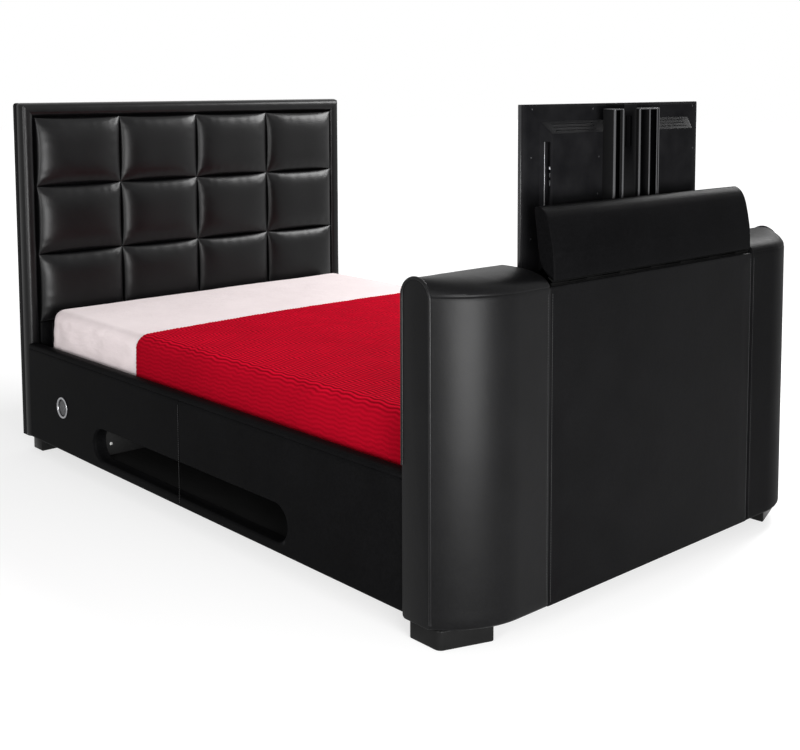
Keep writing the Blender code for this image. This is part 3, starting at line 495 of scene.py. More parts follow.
def metal(name, colour, rough, brush=(1.0, 1.0, 0.05), metallic=1.0, worn=0.25, level=0.5):
    """Drawn or turned metal with fine lines along one way and rubbed edges."""
    n = Nodes(name)
    lines = n.noise(900.0, 2.0, 0.5, n.scaled(*brush))
    tone = n.ramp(n.noise(18.0, 3.0), (0.3, tuple(c * 0.82 for c in colour)), (0.7, colour))
    tone = n.mix(n.maths("MULTIPLY", n.rubbed(0.52, 0.6), worn), tone, paler(colour, 2.2, 0.04))
    fine = n.bump(lines, 0.12, 0.00008)
    return n.finish(tone, n.span(lines, *rough), fine, Metallic=metallic, Specular_IOR_Level=level)


def softwood(name, dark, light):
    """Planed pine with grain along the board."""
    n = Nodes(name)
    rings = n.wave(14.0, "X", 6.0, n.scaled(1.0, 0.35, 1.6))
    fibre = n.noise(120.0, 3.0, 0.6, n.scaled(0.08, 1.0, 1.0))
    colour = n.ramp(n.blend(rings, fibre, 0.6), (0.25, dark), (0.75, light))
    return n.finish(colour, n.span(fibre, 0.55, 0.72), n.bump(fibre, 0.2, 0.0002))


def faced_board(name, dark, light):
    """Black-faced board with a faint pressed grain."""
    n = Nodes(name)
    fibre = n.noise(160.0, 3.0, 0.6, n.scaled(1.0, 0.1, 1.0))
    colour = n.ramp(fibre, (0.3, dark), (0.7, light))
    return n.finish(colour, n.span(fibre, 0.5, 0.7), n.bump(fibre, 0.2, 0.0001), Specular_IOR_Level=0.25)


def perforated(name):
    """Grey sheet with a close pattern of round holes."""
    n = Nodes(name)
    holes = n.voronoi(520.0, "F1")
    colour = n.ramp(holes, (0.32, grey(0.012, 0.013)), (0.42, grey(0.07, 0.073)))
    return n.finish(colour, n.span(holes, 0.4, 0.6), n.bump(holes, 0.6, 0.0003), Metallic=0.4)


def screen(name):
    """A switched-off screen: near black with a faint cool depth."""
    n = Nodes(name)
    colour = n.ramp(n.noise(3.0, 2.0), (0.3, (0.0028, 0.0030, 0.0036)), (0.7, (0.0045, 0.0048, 0.0056)))
    fine = n.bump(n.noise(300.0), 0.02, 0.0001)
    return n.finish(
        colour, n.span(n.noise(60.0), 0.09, 0.13), fine,
        Specular_IOR_Level=0.5, Coat_Weight=0.4, Coat_Roughness=0.04,
    )


M = {
    "leather": leather("faux_leather", grey(0.0018, 0.0020), grey(0.0033, 0.0036), (0.34, 0.42), 0.10),
    "panel": leather(
        "faux_leather_panel", grey(0.0022, 0.0024), grey(0.0040, 0.0043), (0.42, 0.52), 0.028, 0.5
    ),
    "lid": leather("faux_leather_lid", grey(0.0022, 0.0024), grey(0.0036, 0.0039), (0.42, 0.52), 0.009, 0.4),
    "rail": leather(
        "faux_leather_rail", grey(0.0024, 0.0026), grey(0.0042, 0.0045), (0.44, 0.54), 0.014, 0.5
    ),
    "tile": leather(
        "faux_leather_soft", grey(0.0020, 0.0022), grey(0.0036, 0.0039), (0.29, 0.35), 0.18, 0.25
    ),
    "piping": leather(
        "faux_leather_piping", grey(0.0034, 0.0037), grey(0.0058, 0.0062), (0.28, 0.36), 0.12, 0.1
    ),
    "thread": moulded("black_thread", grey(0.012, 0.012), grey(0.026, 0.027), (0.5, 0.65)),
    "sheet": cotton("white_cotton", (0.82, 0.715, 0.72), (0.92, 0.815, 0.82), wrinkle=0.9),
    "ticking": cotton("mattress_ticking", (0.74, 0.72, 0.69), (0.82, 0.81, 0.78), 500.0, 0.2),
    "throw": throw_cloth("crimson_throw"),
    "tv": moulded("tv_case", grey(0.004, 0.0045), grey(0.008, 0.0086), (0.34, 0.42), level=0.005),
    "tv_gloss": moulded("tv_front", grey(0.008, 0.009), grey(0.013, 0.014), (0.14, 0.2), 600.0, 0.00002),
    # Near-black and without sheen, for the hinge leaves: their black finish, darkened further as painted
    # shade so the gap under the lid shows dark.
    "socket": moulded("hinge_black_shade", grey(0.0004, 0.0004), grey(0.0008, 0.0008), (0.6, 0.8), level=0.0),
    "screen": screen("tv_screen_glass"),
    "foot": moulded(
        "foot_black", grey(0.004, 0.004), grey(0.007, 0.007), (0.25, 0.35), 500.0, 0.00003, 0.06
    ),
    "board": faced_board("black_board", grey(0.0022, 0.0022), grey(0.0045, 0.0045)),
    "pine": softwood("pine_planed", (0.46, 0.30, 0.15), (0.66, 0.49, 0.30)),
    # Lift parts: a black finish darkened further and given almost no sheen as painted shade, so the lift's
    # side reads as shadow.
    "lift": metal(
        "black_anodised_and_shade", grey(0.0012, 0.0014), (0.40, 0.52), metallic=0.0, worn=0.2, level=0.002
    ),
    "lip": metal("bare_aluminium", grey(0.075, 0.078), (0.28, 0.40)),
    "steel": metal("painted_steel", grey(0.010, 0.011), (0.35, 0.5), metallic=0.2, worn=0.6, level=0.2),
    "zinc": metal("zinc_plated", grey(0.50, 0.52), (0.22, 0.36)),
    "silver": metal("satin_ring", grey(0.30, 0.31), (0.24, 0.34), (1.0, 0.1, 0.1)),
    "mesh": perforated("speaker_mesh"),
    "cap": moulded("pale_cap", grey(0.30, 0.29), grey(0.40, 0.39), (0.4, 0.5)),
}


# Headboard
def pillow(u, v):
    """How full a padded square is at a place, from 0 at its edge to 1 in its middle."""
    return max((1 - abs(u) ** 3.2) * (1 - abs(v) ** 3.2), 0.0) ** 0.52


def edge_share(w, start=0.62):
    """How far a place lies on the slope down to a seam."""
    return max(0.0, abs(w) - start) / 0.38


def tile(row, column):
    """One padded square: full in the middle, pulled down at its seams, with small pucker folds."""
    node = f"headboard_tile_r{row}c{column}"
    low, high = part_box(node)
    cx, cz = (low.x + high.x) / 2, (low.z + high.z) / 2
    hw, hh = (high.x - low.x) / 2, (high.z - low.z) / 2
    columns, rows = 56, 44
    draw = 0.0034
    crown = low.y
    valley = low.y + 0.030
    seed = Vector((row * 7.3, column * 3.1, 0.7))

    def crinkle(x, y):
        return noise.noise(Vector((x, y, 0)) + seed)

    def pucker(turn, bend, edge):
        """Fine folds across a seam, strongest half way down its slope."""
        return math.sin(turn + bend * 5) * 0.0003 * edge * (1 - edge) * 4

    points = np.zeros((rows + 1, columns + 1, 3))
    for i in range(rows + 1):
        v = math.sin(math.pi / 2 * (2 * i / rows - 1))
        for j in range(columns + 1):
            u = math.sin(math.pi / 2 * (2 * j / columns - 1))
            rise = pillow(u, v)
            x = cx + u * (hw - draw * (1 - v * v) ** 0.8 * abs(u))
            z = cz + v * (hh - draw * (1 - u * u) ** 0.8 * abs(v))
            edge_u, edge_v = edge_share(u), edge_share(v)
            corner = edge_u * edge_v
            fold = crinkle(x * 9, z * 9) * 0.0012 * rise
            folds = pucker((x - cx) * 118, crinkle(x * 14, 3), edge_v)
            folds += pucker((z - cz) * 126, crinkle(9, z * 14), edge_u)
            angle = math.atan2(abs(v) - 0.6, abs(u) - 0.6) if corner > 0 else 0
            folds += math.sin(angle * 9) * 0.0006 * corner * (1 - corner) * 4
            y = valley - (valley - crown) * rise + (fold + folds * min(1.0, rise * 2)) * 0.9
            points[i, j] = (x, max(y, crown - 0.001), z)
    made = shell(f"tile_r{row}c{column}", points, TILE_BASE - GAP, M["tile"], 80)
    return settle(made, "bed", node)


for row in range(1, 4):
    for column in range(1, 5):
        tile(row, column)


def corner_round(x, z):
    """Draw a point near the headboard's two top corners in onto a round."""
    dx, dz = abs(x) - (BOARD_HALF - BOARD_ROUND), z - (BOARD_TOP - BOARD_ROUND)
    if dx <= 0 or dz <= 0:
        return x, z
    share = max(dx, dz) / math.hypot(dx, dz)
    return math.copysign(BOARD_HALF - BOARD_ROUND + dx * share, x), BOARD_TOP - BOARD_ROUND + dz * share


def border(word):
    """A padded border strip, rounder than its solid, with a slight hand-made wander."""
    low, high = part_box("headboard_border_" + word)
    upright = word != "top"
    width = (high.x - low.x) if upright else (high.z - low.z)
    depth = high.y - low.y
    steps = 150 if upright else 170
    inner = width - 0.001
    fullness = 2.7
    section = [(0.0, 0.0)]
    for k in range(27):
        u = -math.cos(math.pi * k / 26) * 0.995
        section.append((inner / 2 * (1 + u), depth * (1 - abs(u) ** fullness) ** (1 / fullness)))
    section.append((inner, 0.0))
    rings = []
    for s in range(steps + 1):
        share = s / steps
        ring = []
        for across, out in section:
            if upright:
                top = high.z - across * (STRIP_HEIGHT / STRIP_WIDTH)
                z = low.z + (top - low.z) * share
                x = low.x + across if word == "left" else high.x - across
            else:
                start = low.x + across * (STRIP_WIDTH / STRIP_HEIGHT)
                end = high.x - across * (STRIP_WIDTH / STRIP_HEIGHT)
                x = start + (end - start) * share
                z = high.z - across
            wander = waver(x * 7, z * 7, 1.0) * 0.0009 + waver(x * 26, z * 26, 4.0) * 0.0004
            y = high.y - out - (wander * min(1.0, out / depth) if out > 0.01 else 0)
            x, z = corner_round(x, z)
            ring.append((x, y, z))
        rings.append(ring)
    made = loft("border_" + word, rings, M["tile"], 60)
    return settle(made, "bed", "headboard_border_" + word)


for word in ("left", "right", "top"):
    border(word)


def soft_panel(name, low, high, seams, puff, edge, side=-1, steps=(120, 60), wave=0.0006):
    """A flat upholstered panel facing along Y, with rounded edges and sunk seams."""
    face, back = (low.y, high.y) if side < 0 else (high.y, low.y)
    inward = [edge * (1 - math.cos(t)) for t in quarter(8)]

    def places(start, end, count, extra=frozenset()):
        """Even places between two ends, closer together at the round edges."""
        found = set(np.linspace(start, end, count + 1).tolist()) | extra
        found |= {start + d for d in inward} | {end - d for d in inward}
        return sorted(p for p in found if start <= p <= end)

    along = places(low.x, high.x, steps[0], {place for s in seams for place in seam_cuts(s)})
    ups = places(low.z, high.z, steps[1])
    points = np.zeros((len(ups), len(along), 3))
    for i, z in enumerate(ups):
        for j, x in enumerate(along):
            margins = (min(x - low.x, high.x - x), min(z - low.z, high.z - z))
            near = min(margins)
            drop = sum(edge - math.sqrt(max(edge ** 2 - (edge - d) ** 2, 0)) for d in margins if d < edge)
            sunk = sum(groove(x - s, 0.0022) for s in seams)
            ripple = wave * waver(x * 4.5, z * 4.5, 2.0) * min(1.0, near / 0.03)
            depth = drop + sunk - ripple + (puff - puff * min(1.0, near / 0.05))
            points[i, j] = (x, face - side * depth, z)
    return shell(name, points, back, M["panel"])


def lower_panel():
    """The panel under the squares, with two seams and a row of stitches on each side of them."""
    low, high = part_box("headboard_lower_panel")
    seams = (-PANEL_SEAM, PANEL_SEAM)
    made = soft_panel("lower_panel", low, high, seams, 0.002, 0.008)
    settle(made, "bed", "headboard_lower_panel")
    for seam, word in zip(seams, "lr"):
        for offset, letter in ((-0.004, "a"), (0.004, "b")):
            x = seam + offset
            stitches("panel_stitch_" + word + letter, (x, low.y, low.z + 0.01), (x, low.y, high.z - 0.01))


lower_panel()


def board():
    """The upholstered board behind the tiles, round at its edges and its two top corners."""
    low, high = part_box("headboard_core")
    r = BOARD_ROUND
    skin = ((0.0, 0.0022), (0.0006, 0.0007), (0.0022, 0.0))
    stations = [(low.y + d, inset) for d, inset in skin]
    stations += [(high.y - d, inset) for d, inset in reversed(skin)]
    rings = []
    for y, inset in stations:
        ring = [(low.x + inset, y, low.z + inset)]
        for cx, start in ((-BOARD_HALF + r, 180), (BOARD_HALF - r, 90)):
            for k in range(9):
                t = math.radians(start - 11.25 * k)
                ring.append((cx + (r - inset) * math.cos(t), y, BOARD_TOP - r + (r - inset) * math.sin(t)))
        ring.append((high.x - inset, y, low.z + inset))
        rings.append(ring)
    made = loft("headboard_board", rings, M["rail"], 40)
    return settle(made, "bed", "headboard_core")


board()


# Side rails
def rail_section():
    """Outline of the left rail, anticlockwise from its inner bottom, as (x, z)."""
    low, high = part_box("side_rail_left")
    outer, inner = low.x, high.x
    bottom, top = low.z, high.z - 0.0135
    rise, power = 0.0130, 2.5
    crease = top - 0.0175
    points = [(inner, bottom), (inner, top - rise)]
    for k in range(1, 24):
        t = math.pi * k / 24
        across = math.copysign(abs(math.cos(t)) ** (2 / power), math.cos(t))
        x = inner - (inner - outer) / 2 * (1 - across)
        points.append((x, top - rise + rise * math.sin(t) ** (2 / power)))
    for out, up in (
        (0.0004, 0.0034), (0.0012, 0.0024), (0.0028, 0.0010), (0.0034, 0.0),
        (0.0028, -0.0012), (0.0010, -0.0035), (0.0002, -0.007),
    ):
        points.append((outer + out, crease + up))
    for z in np.linspace(crease - 0.014, bottom + 0.012, 40):
        points.append((outer, float(z)))
    for t in quarter(6):
        points.append((outer + 0.008 * (1 - math.cos(t)), bottom + 0.008 * (1 - math.sin(t))))
    return points


def rail(side, word):
    """A side rail with its roll, its sunk seam and a slight ripple."""
    low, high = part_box("side_rail_left")
    middle = (low.x + high.x) / 2
    section = rail_section()
    rings = []
    for y in sorted(set(np.linspace(low.y, high.y, 200).tolist()) | seam_cuts(RAIL_SEAM)):
        ring = []
        for x, z in section:
            if x < middle and z < high.z - 0.03:
                ripple = 0.0007 * waver(y * 3.2, z * 6.0, side * 2.0)
                x = x + groove(y - RAIL_SEAM, 0.0016) + ripple + 0.0007
            elif x < middle or z > high.z - 0.02:
                ripple = abs(0.0009 * waver(y * 9.0, z * 20.0, side * 5.0))
                x, z = x + ripple, z - ripple
            ring.append((-side * x, y, z))
        rings.append(ring)
    return loft("rail_" + word, rings, M["rail"], 30)


def pill_ring(x, grow):
    """The media opening's outline at one depth."""
    radius, start_y, length, bottom = 0.0535, FOOT + 0.4523, 1.042, 0.090
    near, far, mid = start_y + radius, start_y + length - radius, bottom + radius
    ring = []
    for centre, start in ((near, math.pi / 2), (far, -math.pi / 2)):
        for k in range(29):
            t = start + math.pi * k / 28
            ring.append((x, centre + (radius + grow) * math.cos(t), mid + (radius + grow) * math.sin(t)))
    return ring


def cut_rail(made):
    """Cut the media opening, round at its mouth, and the speaker's bore."""
    low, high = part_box("side_rail_left")
    lip, beyond = 0.011, 0.02
    rings = [pill_ring(low.x - beyond, lip)]
    for t in quarter(10):
        rings.append(pill_ring(low.x + lip * (1 - math.cos(t)) - 0.0006, lip * (1 - math.sin(t))))
    rings.append(pill_ring(high.x + beyond, 0.0))
    carve(made, loft("pill_cutter", rings, M["panel"], None))
    bore = [(0, -0.02), (0.0326, -0.02), (0.0326, 0.08), (0, 0.08)]
    carve(made, revolve("bore_cutter", bore, SPEAKER, "X", M["panel"], 64, None))


for side, word in ((-1, "left"), (1, "right")):
    made = rail(side, word)
    if word == "left":
        cut_rail(made)
    settle(made, "bed", "side_rail_" + word)
for side, word in ((-1, "left"), (1, "right")):
    x, y = side * (0.745 - 0.0007), RAIL_SEAM + 0.004
    stitches("rail_stitch_" + word, (x, y, 0.07), (x, y, 0.378), (side, 0, 0))


def speaker():
    """Satin ring and domed grille in the left rail, over the plain driver."""
    trim = [
        (0.0296, 0.0016), (0.0300, -0.0004), (0.0312, -0.0017), (0.0330, -0.0024), (0.0350, -0.0023),
        (0.0364, -0.0014), (0.0370, -0.0003), (0.0322, -0.0003), (0.0322, 0.006), (0.0298, 0.006),
    ]
    made = revolve("speaker_trim", trim, SPEAKER, "X", M["silver"], 96)
    settle(made, "bed", "speaker_ring")
    grille = [
        (0.0, 0.0034), (0.006, 0.0032), (0.012, 0.0026), (0.016, 0.0016), (0.0172, 0.0024),
        (0.0186, 0.0016), (0.0230, 0.0026), (0.0268, 0.0040), (0.0290, 0.0052), (0.0290, 0.0064),
        (0.0230, 0.0052), (0.012, 0.0046), (0.0, 0.0046),
    ]
    made = revolve("speaker_face", grille, SPEAKER, "X", M["mesh"], 96)
    settle(made, "bed", "speaker_grille")
    dress("speaker_driver", M["steel"], bevel=0, name="speaker_unit")


speaker()


def media_box():
    """The boards behind the opening, with small caps on the one at the head end."""
    for word in ("floor", "top", "back", "end_head", "end_foot"):
        dress("media_shelf_" + word, M["board"], bevel=0.001)
    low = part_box("media_shelf_end_head")[0]
    dome = [(0, 0), (0.0055, 0), (0.0055, -0.0012), (0.0042, -0.0024), (0.0015, -0.0028), (0, -0.0028)]
    caps = [
        revolve("cap", dome, (x, low.y, z), "Y", M["cap"], 24)
        for x in (-0.676, -0.32) for z in (0.1245, 0.183)
    ]
    settle(join("shelf_caps", caps, M["cap"]), "bed")


media_box()

# Base under the mattress
for word in ("slat_ledger_left", "slat_ledger_right", "centre_beam", "centre_leg", "slat_set"):
    dress(word, M["pine"], bevel=0.0015)


# Mattress, sheet and throw
BED_HALF, BED_EDGE, BED_CROWN, BED_ROUND = 0.678, 0.5205, 0.0075, 0.043
BED_FLAT = BED_HALF - BED_ROUND
SIDE_TOP = BED_EDGE - BED_ROUND
LEAN, LEAN_RUN = 0.004, 0.15


def bed_ring(inset, z, step=0.02):
    """A rounded rectangle in plan round the mattress, drawn in by an amount."""
    hw = BED_HALF - inset
    near, far = FOOT + 0.0105 + inset, FOOT + 1.929 - inset
    r, h = max(0.070 - inset, 0.003), max(0.050 - inset, 0.003)
    corners = (
        (hw - h, far - h, 0, h), (-hw + h, far - h, 90, h),
        (-hw + r, near + r, 180, r), (hw - r, near + r, 270, r),
    )

    def on(corner, degrees):
        cx, cy, _, radius = corner
        t = math.radians(degrees)
        return Vector((cx + radius * math.cos(t), cy + radius * math.sin(t)))

    counts = (int(1.234 / step), int(1.784 / step)) * 2
    points = []
    for k, corner in enumerate(corners):
        start = corner[2]
        points += [on(corner, start + 9 * s) for s in range(10)]
        a, b = on(corner, start + 90), on(corners[(k + 1) % 4], start + 90)
        points += [a.lerp(b, s / counts[k]) for s in range(counts[k])]
    return [Vector((p.x, p.y, z)) for p in points]


def bed_levels(out, bottom, rows=22):
    """Inset and height of each ring from the bottom edge to the middle of the top."""
    levels = []
    for z in np.linspace(bottom, SIDE_TOP, rows):
        levels.append((-out - LEAN * (SIDE_TOP - z) / LEAN_RUN, float(z)))
    round_out = BED_ROUND + out
    for t in quarter(11, 1):
        levels.append((BED_ROUND - round_out * math.cos(t), SIDE_TOP + round_out * math.sin(t)))
    for share in (0.02, 0.05, 0.09, 0.14, 0.20, 0.27, 0.35, 0.44, 0.54, 0.65, 0.76, 0.87, 0.97):
        crown = BED_CROWN * math.sin(math.pi / 2 * share)
        levels.append((BED_ROUND + BED_FLAT * share * 0.995, BED_EDGE + out + crown))
    return levels


def mattress():
    """The mattress itself: plain ticking with a taped edge at its bottom."""
    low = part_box("mattress")[0].z
    levels = [(0.640, low), (0.30, low), (0.030, low), (0.010, low + 0.002), (0.003, low + 0.008)]
    levels += [(0.0005, low + 0.016), (0.0042, low + 0.019)] + bed_levels(-0.0035, low + 0.024, 8)
    made = loft("mattress_core", [bed_ring(inset, z, 0.05) for inset, z in levels], M["ticking"], 60)
    return settle(made, "bed", "mattress")


mattress()


def clamp(value):
    return min(1.0, max(0.0, value))


def sheet_point(p, z):
    """A point of the fitted sheet, moved by its drag lines, arcs, gathers and lift."""
    middle, half_width, half_length = FOOT + 0.967, 0.675, 0.955
    outward = Vector((p.x / half_width, (p.y - middle) / half_length, 0))
    corner = max(0.0, min(abs(outward.x), abs(outward.y)) - 0.84) / 0.16
    side = 1.0 if z < BED_EDGE - 0.030 else max(0.0, 1 - (z - BED_EDGE + 0.030) / 0.030)
    along = p.y if abs(outward.x) > abs(outward.y) else p.x
    drag = waver(along * 5.0 + z * 2.5, z * 9.0, 3.0) * 0.0055
    drag += waver(along * 17.0, z * 30.0 + along * 6, 8.0) * 0.0034
    fall = max(0.0, (0.455 - z) / 0.10)
    drag += math.sin(along * 150 + 5 * waver(along * 9, z * 6, 1)) * 0.0011 * fall
    reach = math.hypot(abs(p.y) - 0.80, (z - 0.56) * 1.4)
    arcs = sum(math.exp(-((reach - r) / 0.006) ** 2) for r in (0.115, 0.150, 0.176))
    drag += 0.0052 * arcs * (0.5 + waver(along * 8, z * 8, 4.0))
    gather = math.sin(math.atan2(outward.y, outward.x) * 210 + z * 8) * 0.0022 * min(1, corner * 1.5)
    way = Vector((0, 0, 0))
    if abs(outward.x) > 0.9:
        way.x = math.copysign(1, p.x)
    if abs(outward.y) > 0.9:
        way.y = math.copysign(1, outward.y)
    if way.length > 0:
        way.normalize()
    q = p + way * max((drag + gather) * 0.9 * side, -0.0020)
    lift = waver(p.x * 3.2, p.y * 3.2, 5.0) * 0.0016 + waver(p.x * 11, p.y * 8, 9.0) * 0.0007
    q.z += max(lift + 0.0004, -0.0006) * (1 - side)
    toward = clamp((p.y - 0.40) / 0.45)
    q.z += 0.0060 * toward * toward * (3 - 2 * toward) * clamp((z - 0.44) / 0.06)
    return q


def sheet():
    """The fitted sheet: taut on top, with soft drag lines on its sides and gathers at the corners."""
    rings = [[sheet_point(p, z) for p in bed_ring(inset, z)] for inset, z in bed_levels(0.0, 0.330)]
    count = len(rings[0])
    faces = grid_faces(len(rings), count, close_columns=True)
    faces.append(tuple(range((len(rings) - 1) * count, len(rings) * count)))
    verts = [v for ring in rings for v in ring]
    made = link("fitted_sheet_cloth", mesh_of("fitted_sheet_cloth", verts, faces), M["sheet"], 80)
    thicken(made, 0.0010)
    return settle(made, "bed", "fitted_sheet")


sheet()


def throw_section(s, out):
    """Place and outward way at a distance from the bedspread's middle, as (x, z, nx, nz)."""
    sign = -1 if s < 0 else 1
    s = abs(s)
    round_out = BED_ROUND + out
    arc = math.pi / 2 * round_out
    if s < BED_FLAT:
        crown = BED_CROWN * math.sin(math.pi / 2 * (1 - s / BED_FLAT))
        return sign * s, BED_EDGE + out + crown, 0.0, 1.0
    if s < BED_FLAT + arc:
        t = (s - BED_FLAT) / round_out
        x = BED_FLAT + round_out * math.sin(t)
        return sign * x, SIDE_TOP + round_out * math.cos(t), sign * math.sin(t), math.cos(t)
    down = s - BED_FLAT - arc
    return sign * (BED_HALF + out + LEAN * down / LEAN_RUN), SIDE_TOP - down, sign * 1.0, 0.0


def throw():
    """The ribbed bedspread: wavy ridges along the bed, over the top and down both sides."""
    near, far = FOOT + 0.0055, FOOT + 0.012 + 1.305
    out, step, hem = 0.0048, 0.0024, 0.375
    pitch, wavelength = 0.0128, 0.052
    total = BED_FLAT + math.pi / 2 * (BED_ROUND + out) + SIDE_TOP - hem
    count = int(2 * total / step)
    stations = np.linspace(near, far, 340)
    verts, ridges = [], []
    for y in stations:
        edge = min(1.0, (far - y) / 0.006, (y - near) / 0.006)
        for k in range(count + 1):
            s = -total + 2 * total * k / count
            x, z, nx, nz = throw_section(s, out)
            wave = 1.05 * math.sin(2 * math.pi * y / wavelength + waver(s * 14, y * 9, 0.0) * 5.0)
            wave += 0.5 * math.sin(2 * math.pi * y / (wavelength * 2.3) + s * 31)
            crest = 0.5 + 0.5 * math.cos(2 * math.pi * s / pitch + wave)
            strong = (0.62 + 0.13 * nz) + 0.5 * waver(s * 34, y * 16, 7.0)
            soft = waver(s * 3.0, y * 2.4, 2.0) * 0.0020 + waver(s * 8.0, y * 8.0, 6.0) * 0.0010
            lift = 0.0021 * (0.18 + 0.82 * nz ** 6) * crest ** 1.2 * strong + max(soft, -0.0008)
            if nz < 0.1:
                lift += 0.0010 * waver(y * 6.0, z * 12.0, 3.0)
            rise = lift - (1 - edge) * 0.0030
            scallop = 0.0022 * crest * strong if edge < 0.5 else 0.0
            verts.append((x + nx * rise, y + (scallop if y > 0 else -0.3 * scallop), z + nz * rise))
            # Painted shade for the colour: darker in the valleys between the ribs on top, darker still down
            # the sides.
            share = nz ** 4
            above = (crest * 0.95 + 0.05) * (0.75 + 0.4 * strong)
            ridges.append(share * above + (1 - share) * (0.23 + 0.12 * crest + 0.05 * nz))
    mesh = mesh_of("bedspread", verts, grid_faces(len(stations), count + 1))
    mesh.attributes.new("rib_shade", "FLOAT", "POINT").data.foreach_set("value", ridges)
    made = link("bedspread", mesh, M["throw"], 80)
    thicken(made, 0.0030)
    soften(made.data, 75)
    return settle(made, "bed", "blanket")


throw()


# Footboard
def depth_at(x):
    """How deep the footboard is at a place across the bed."""
    run = abs(x) - ARC_START
    if run <= 0:
        return DEPTH
    return DEPTH - CORNER + math.sqrt(max(CORNER ** 2 - run ** 2, 0))


def arm_profile(depth):
    """The arm's section at one place, front bottom round to back bottom, as (y, z)."""
    r, crest_y = SHOULDER, FOOT - SHOULDER
    front_run = depth - r
    power = 2 + 0.6 * (depth - END_DEPTH) / (DEPTH - END_DEPTH)
    front, lower = FOOT - depth, 0.010
    points = []
    for t in quarter(4):
        points.append((front + lower - lower * math.sin(t), BOTTOM + lower - lower * math.cos(t)))
    for z in np.linspace(BOTTOM + 0.03, ARM_SEAM - 0.012, 56):
        points.append((front, float(z)))
    for dz, sink in ((-0.004, 0.0), (-0.0016, 0.0006), (0.0, 0.0017), (0.0016, 0.0006), (0.004, 0.0)):
        z = ARM_SEAM + dz
        t = max(0.0, (z - SHOULDER_Z) / r)
        bulge = front_run * (1 - t ** power) ** (1 / power) if z > SHOULDER_Z else front_run
        points.append((crest_y - bulge + sink, z))
    over = []
    for k in range(3, 31):
        t = math.pi / 2 * (1 - k / 30)
        z = SHOULDER_Z + r * math.cos(t) ** (2 / power)
        if z > ARM_SEAM + 0.0055:
            over.append((crest_y - front_run * math.sin(t) ** (2 / power), z))
    points += [over[0]] * (28 - len(over)) + over
    for t in quarter(16, 1):
        points.append((crest_y + r * math.sin(t), SHOULDER_Z + r * math.cos(t)))
    for z in np.linspace(SHOULDER_Z - 0.03, BOTTOM + 0.03, 30):
        points.append((FOOT, float(z)))
    for t in quarter(4):
        points.append((FOOT - lower + lower * math.cos(t), BOTTOM + lower - lower * math.sin(t)))
    return points


def arm_stations(inner):
    """Places along the arm from its end strip to its inner edge, each with its inset."""
    places = [HALF - 0.0012, HALF - 0.0002 - 0.0024]
    places += [HALF - (HALF - ARC_START) * k / 40 for k in range(1, 40)]
    places += [ARC_START - (ARC_START - ARM_X) * k / 14 for k in range(15)]
    stations = [(HALF, 0.0015), (HALF - 0.0003, 0.0006), (HALF - 0.0008, 0.0001)]
    stations += [(x, 0.0) for x in sorted({p for p in places if p > inner + 0.006}, reverse=True)]
    return stations + [(inner + 0.005 * (1 - math.sin(t)), 0.005 * (1 - math.cos(t))) for t in quarter(6)]


def arm(side, word):
    """A padded arm of the footboard, with a slight ripple and a row of stitches."""
    inner = ARM_X + 0.0003
    rings = []
    for x, inset in arm_stations(inner):
        points = [Vector(p) for p in arm_profile(depth_at(min(x, HALF)))]
        ring = []
        for i, p in enumerate(points):
            way = points[(i + 1) % len(points)] - points[i - 1]
            if way.length < 1e-9:
                way = Vector((0, 1))
            normal = Vector((-way.y, way.x)).normalized()
            q = p - normal * inset
            if inset == 0 and p.y > 0.09:
                ripple = waver(x * 6.0 * side, p.x * 6.0, p.y * 4.5) * 0.0010
                if p.y > 0.838:
                    ripple += waver(x * 16.0 * side, p.x * 16.0, p.y * 12) * 0.0006
                q = q - normal * abs(ripple)
            ring.append((side * x, q.x, q.y))
        rings.append(ring)
    # The right arm takes the duller rail leather, a shaded copy of the left arm's: painted shade on the
    # right arm.
    made = loft("arm_" + word, rings, M["leather" if side < 0 else "rail"], 35)
    settle(made, "bed", "footboard_arm_" + word)
    x, y = side * (inner + 0.008), FRONT + 0.0006
    stitches("arm_stitch_" + word, (x, y, STITCH_LOW), (x, y, STITCH_HIGH))


arm(-1, "left")
arm(1, "right")


def piping(side, word):
    """Corded piping round the end strip."""
    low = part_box("piping_" + word)[0]
    x = side * (HALF - 0.0015)
    inset = 0.0045 / 6
    straight_top, behind_rail = 0.80, 0.4245
    r = SHOULDER - inset
    points = [(FOOT - END_DEPTH + inset, z) for z in np.linspace(low.z, straight_top, 90)]
    for k in range(49):
        t = math.pi * k / 48
        points.append((FOOT - SHOULDER - r * math.cos(t), SHOULDER_Z + r * math.sin(t)))
    points += [(FOOT - inset, float(z)) for z in np.linspace(straight_top, behind_rail, 50)]
    path = [(x + side * 0.0004 * waver(i * 0.35, side, 0), y, z) for i, (y, z) in enumerate(points)]
    made = tube("piping_cord_" + word, path, 0.0042, M["piping"], 14)
    return settle(made, "bed", "piping_" + word)


piping(-1, "left")
piping(1, "right")


def footboard_panels():
    """The padded front and back panels, with a row of stitches at each end of the front."""
    low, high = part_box("footboard_front_panel")
    made = soft_panel("front_panel", low, high, (), 0.0014, 0.005, steps=(130, 100), wave=0.0011)
    settle(made, "bed", "footboard_front_panel")
    for side, word in ((-1, "left"), (1, "right")):
        x, y = side * (high.x - 0.008), low.y + 0.0012
        stitches("front_stitch_" + word, (x, y, STITCH_LOW), (x, y, STITCH_HIGH))
    low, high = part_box("footboard_back_panel")
    made = soft_panel("back_panel", low, high, (), 0.0006, 0.0035, side=1, steps=(110, 70), wave=0.0005)
    settle(made, "bed", "footboard_back_panel")


footboard_panels()
dress("footboard_floor", M["board"], bevel=0.001)
for word in ("foot_front_left", "foot_front_right", "foot_rear_left", "foot_rear_right"):
    dress(word, M["foot"], bevel=0.0012, segments=3)


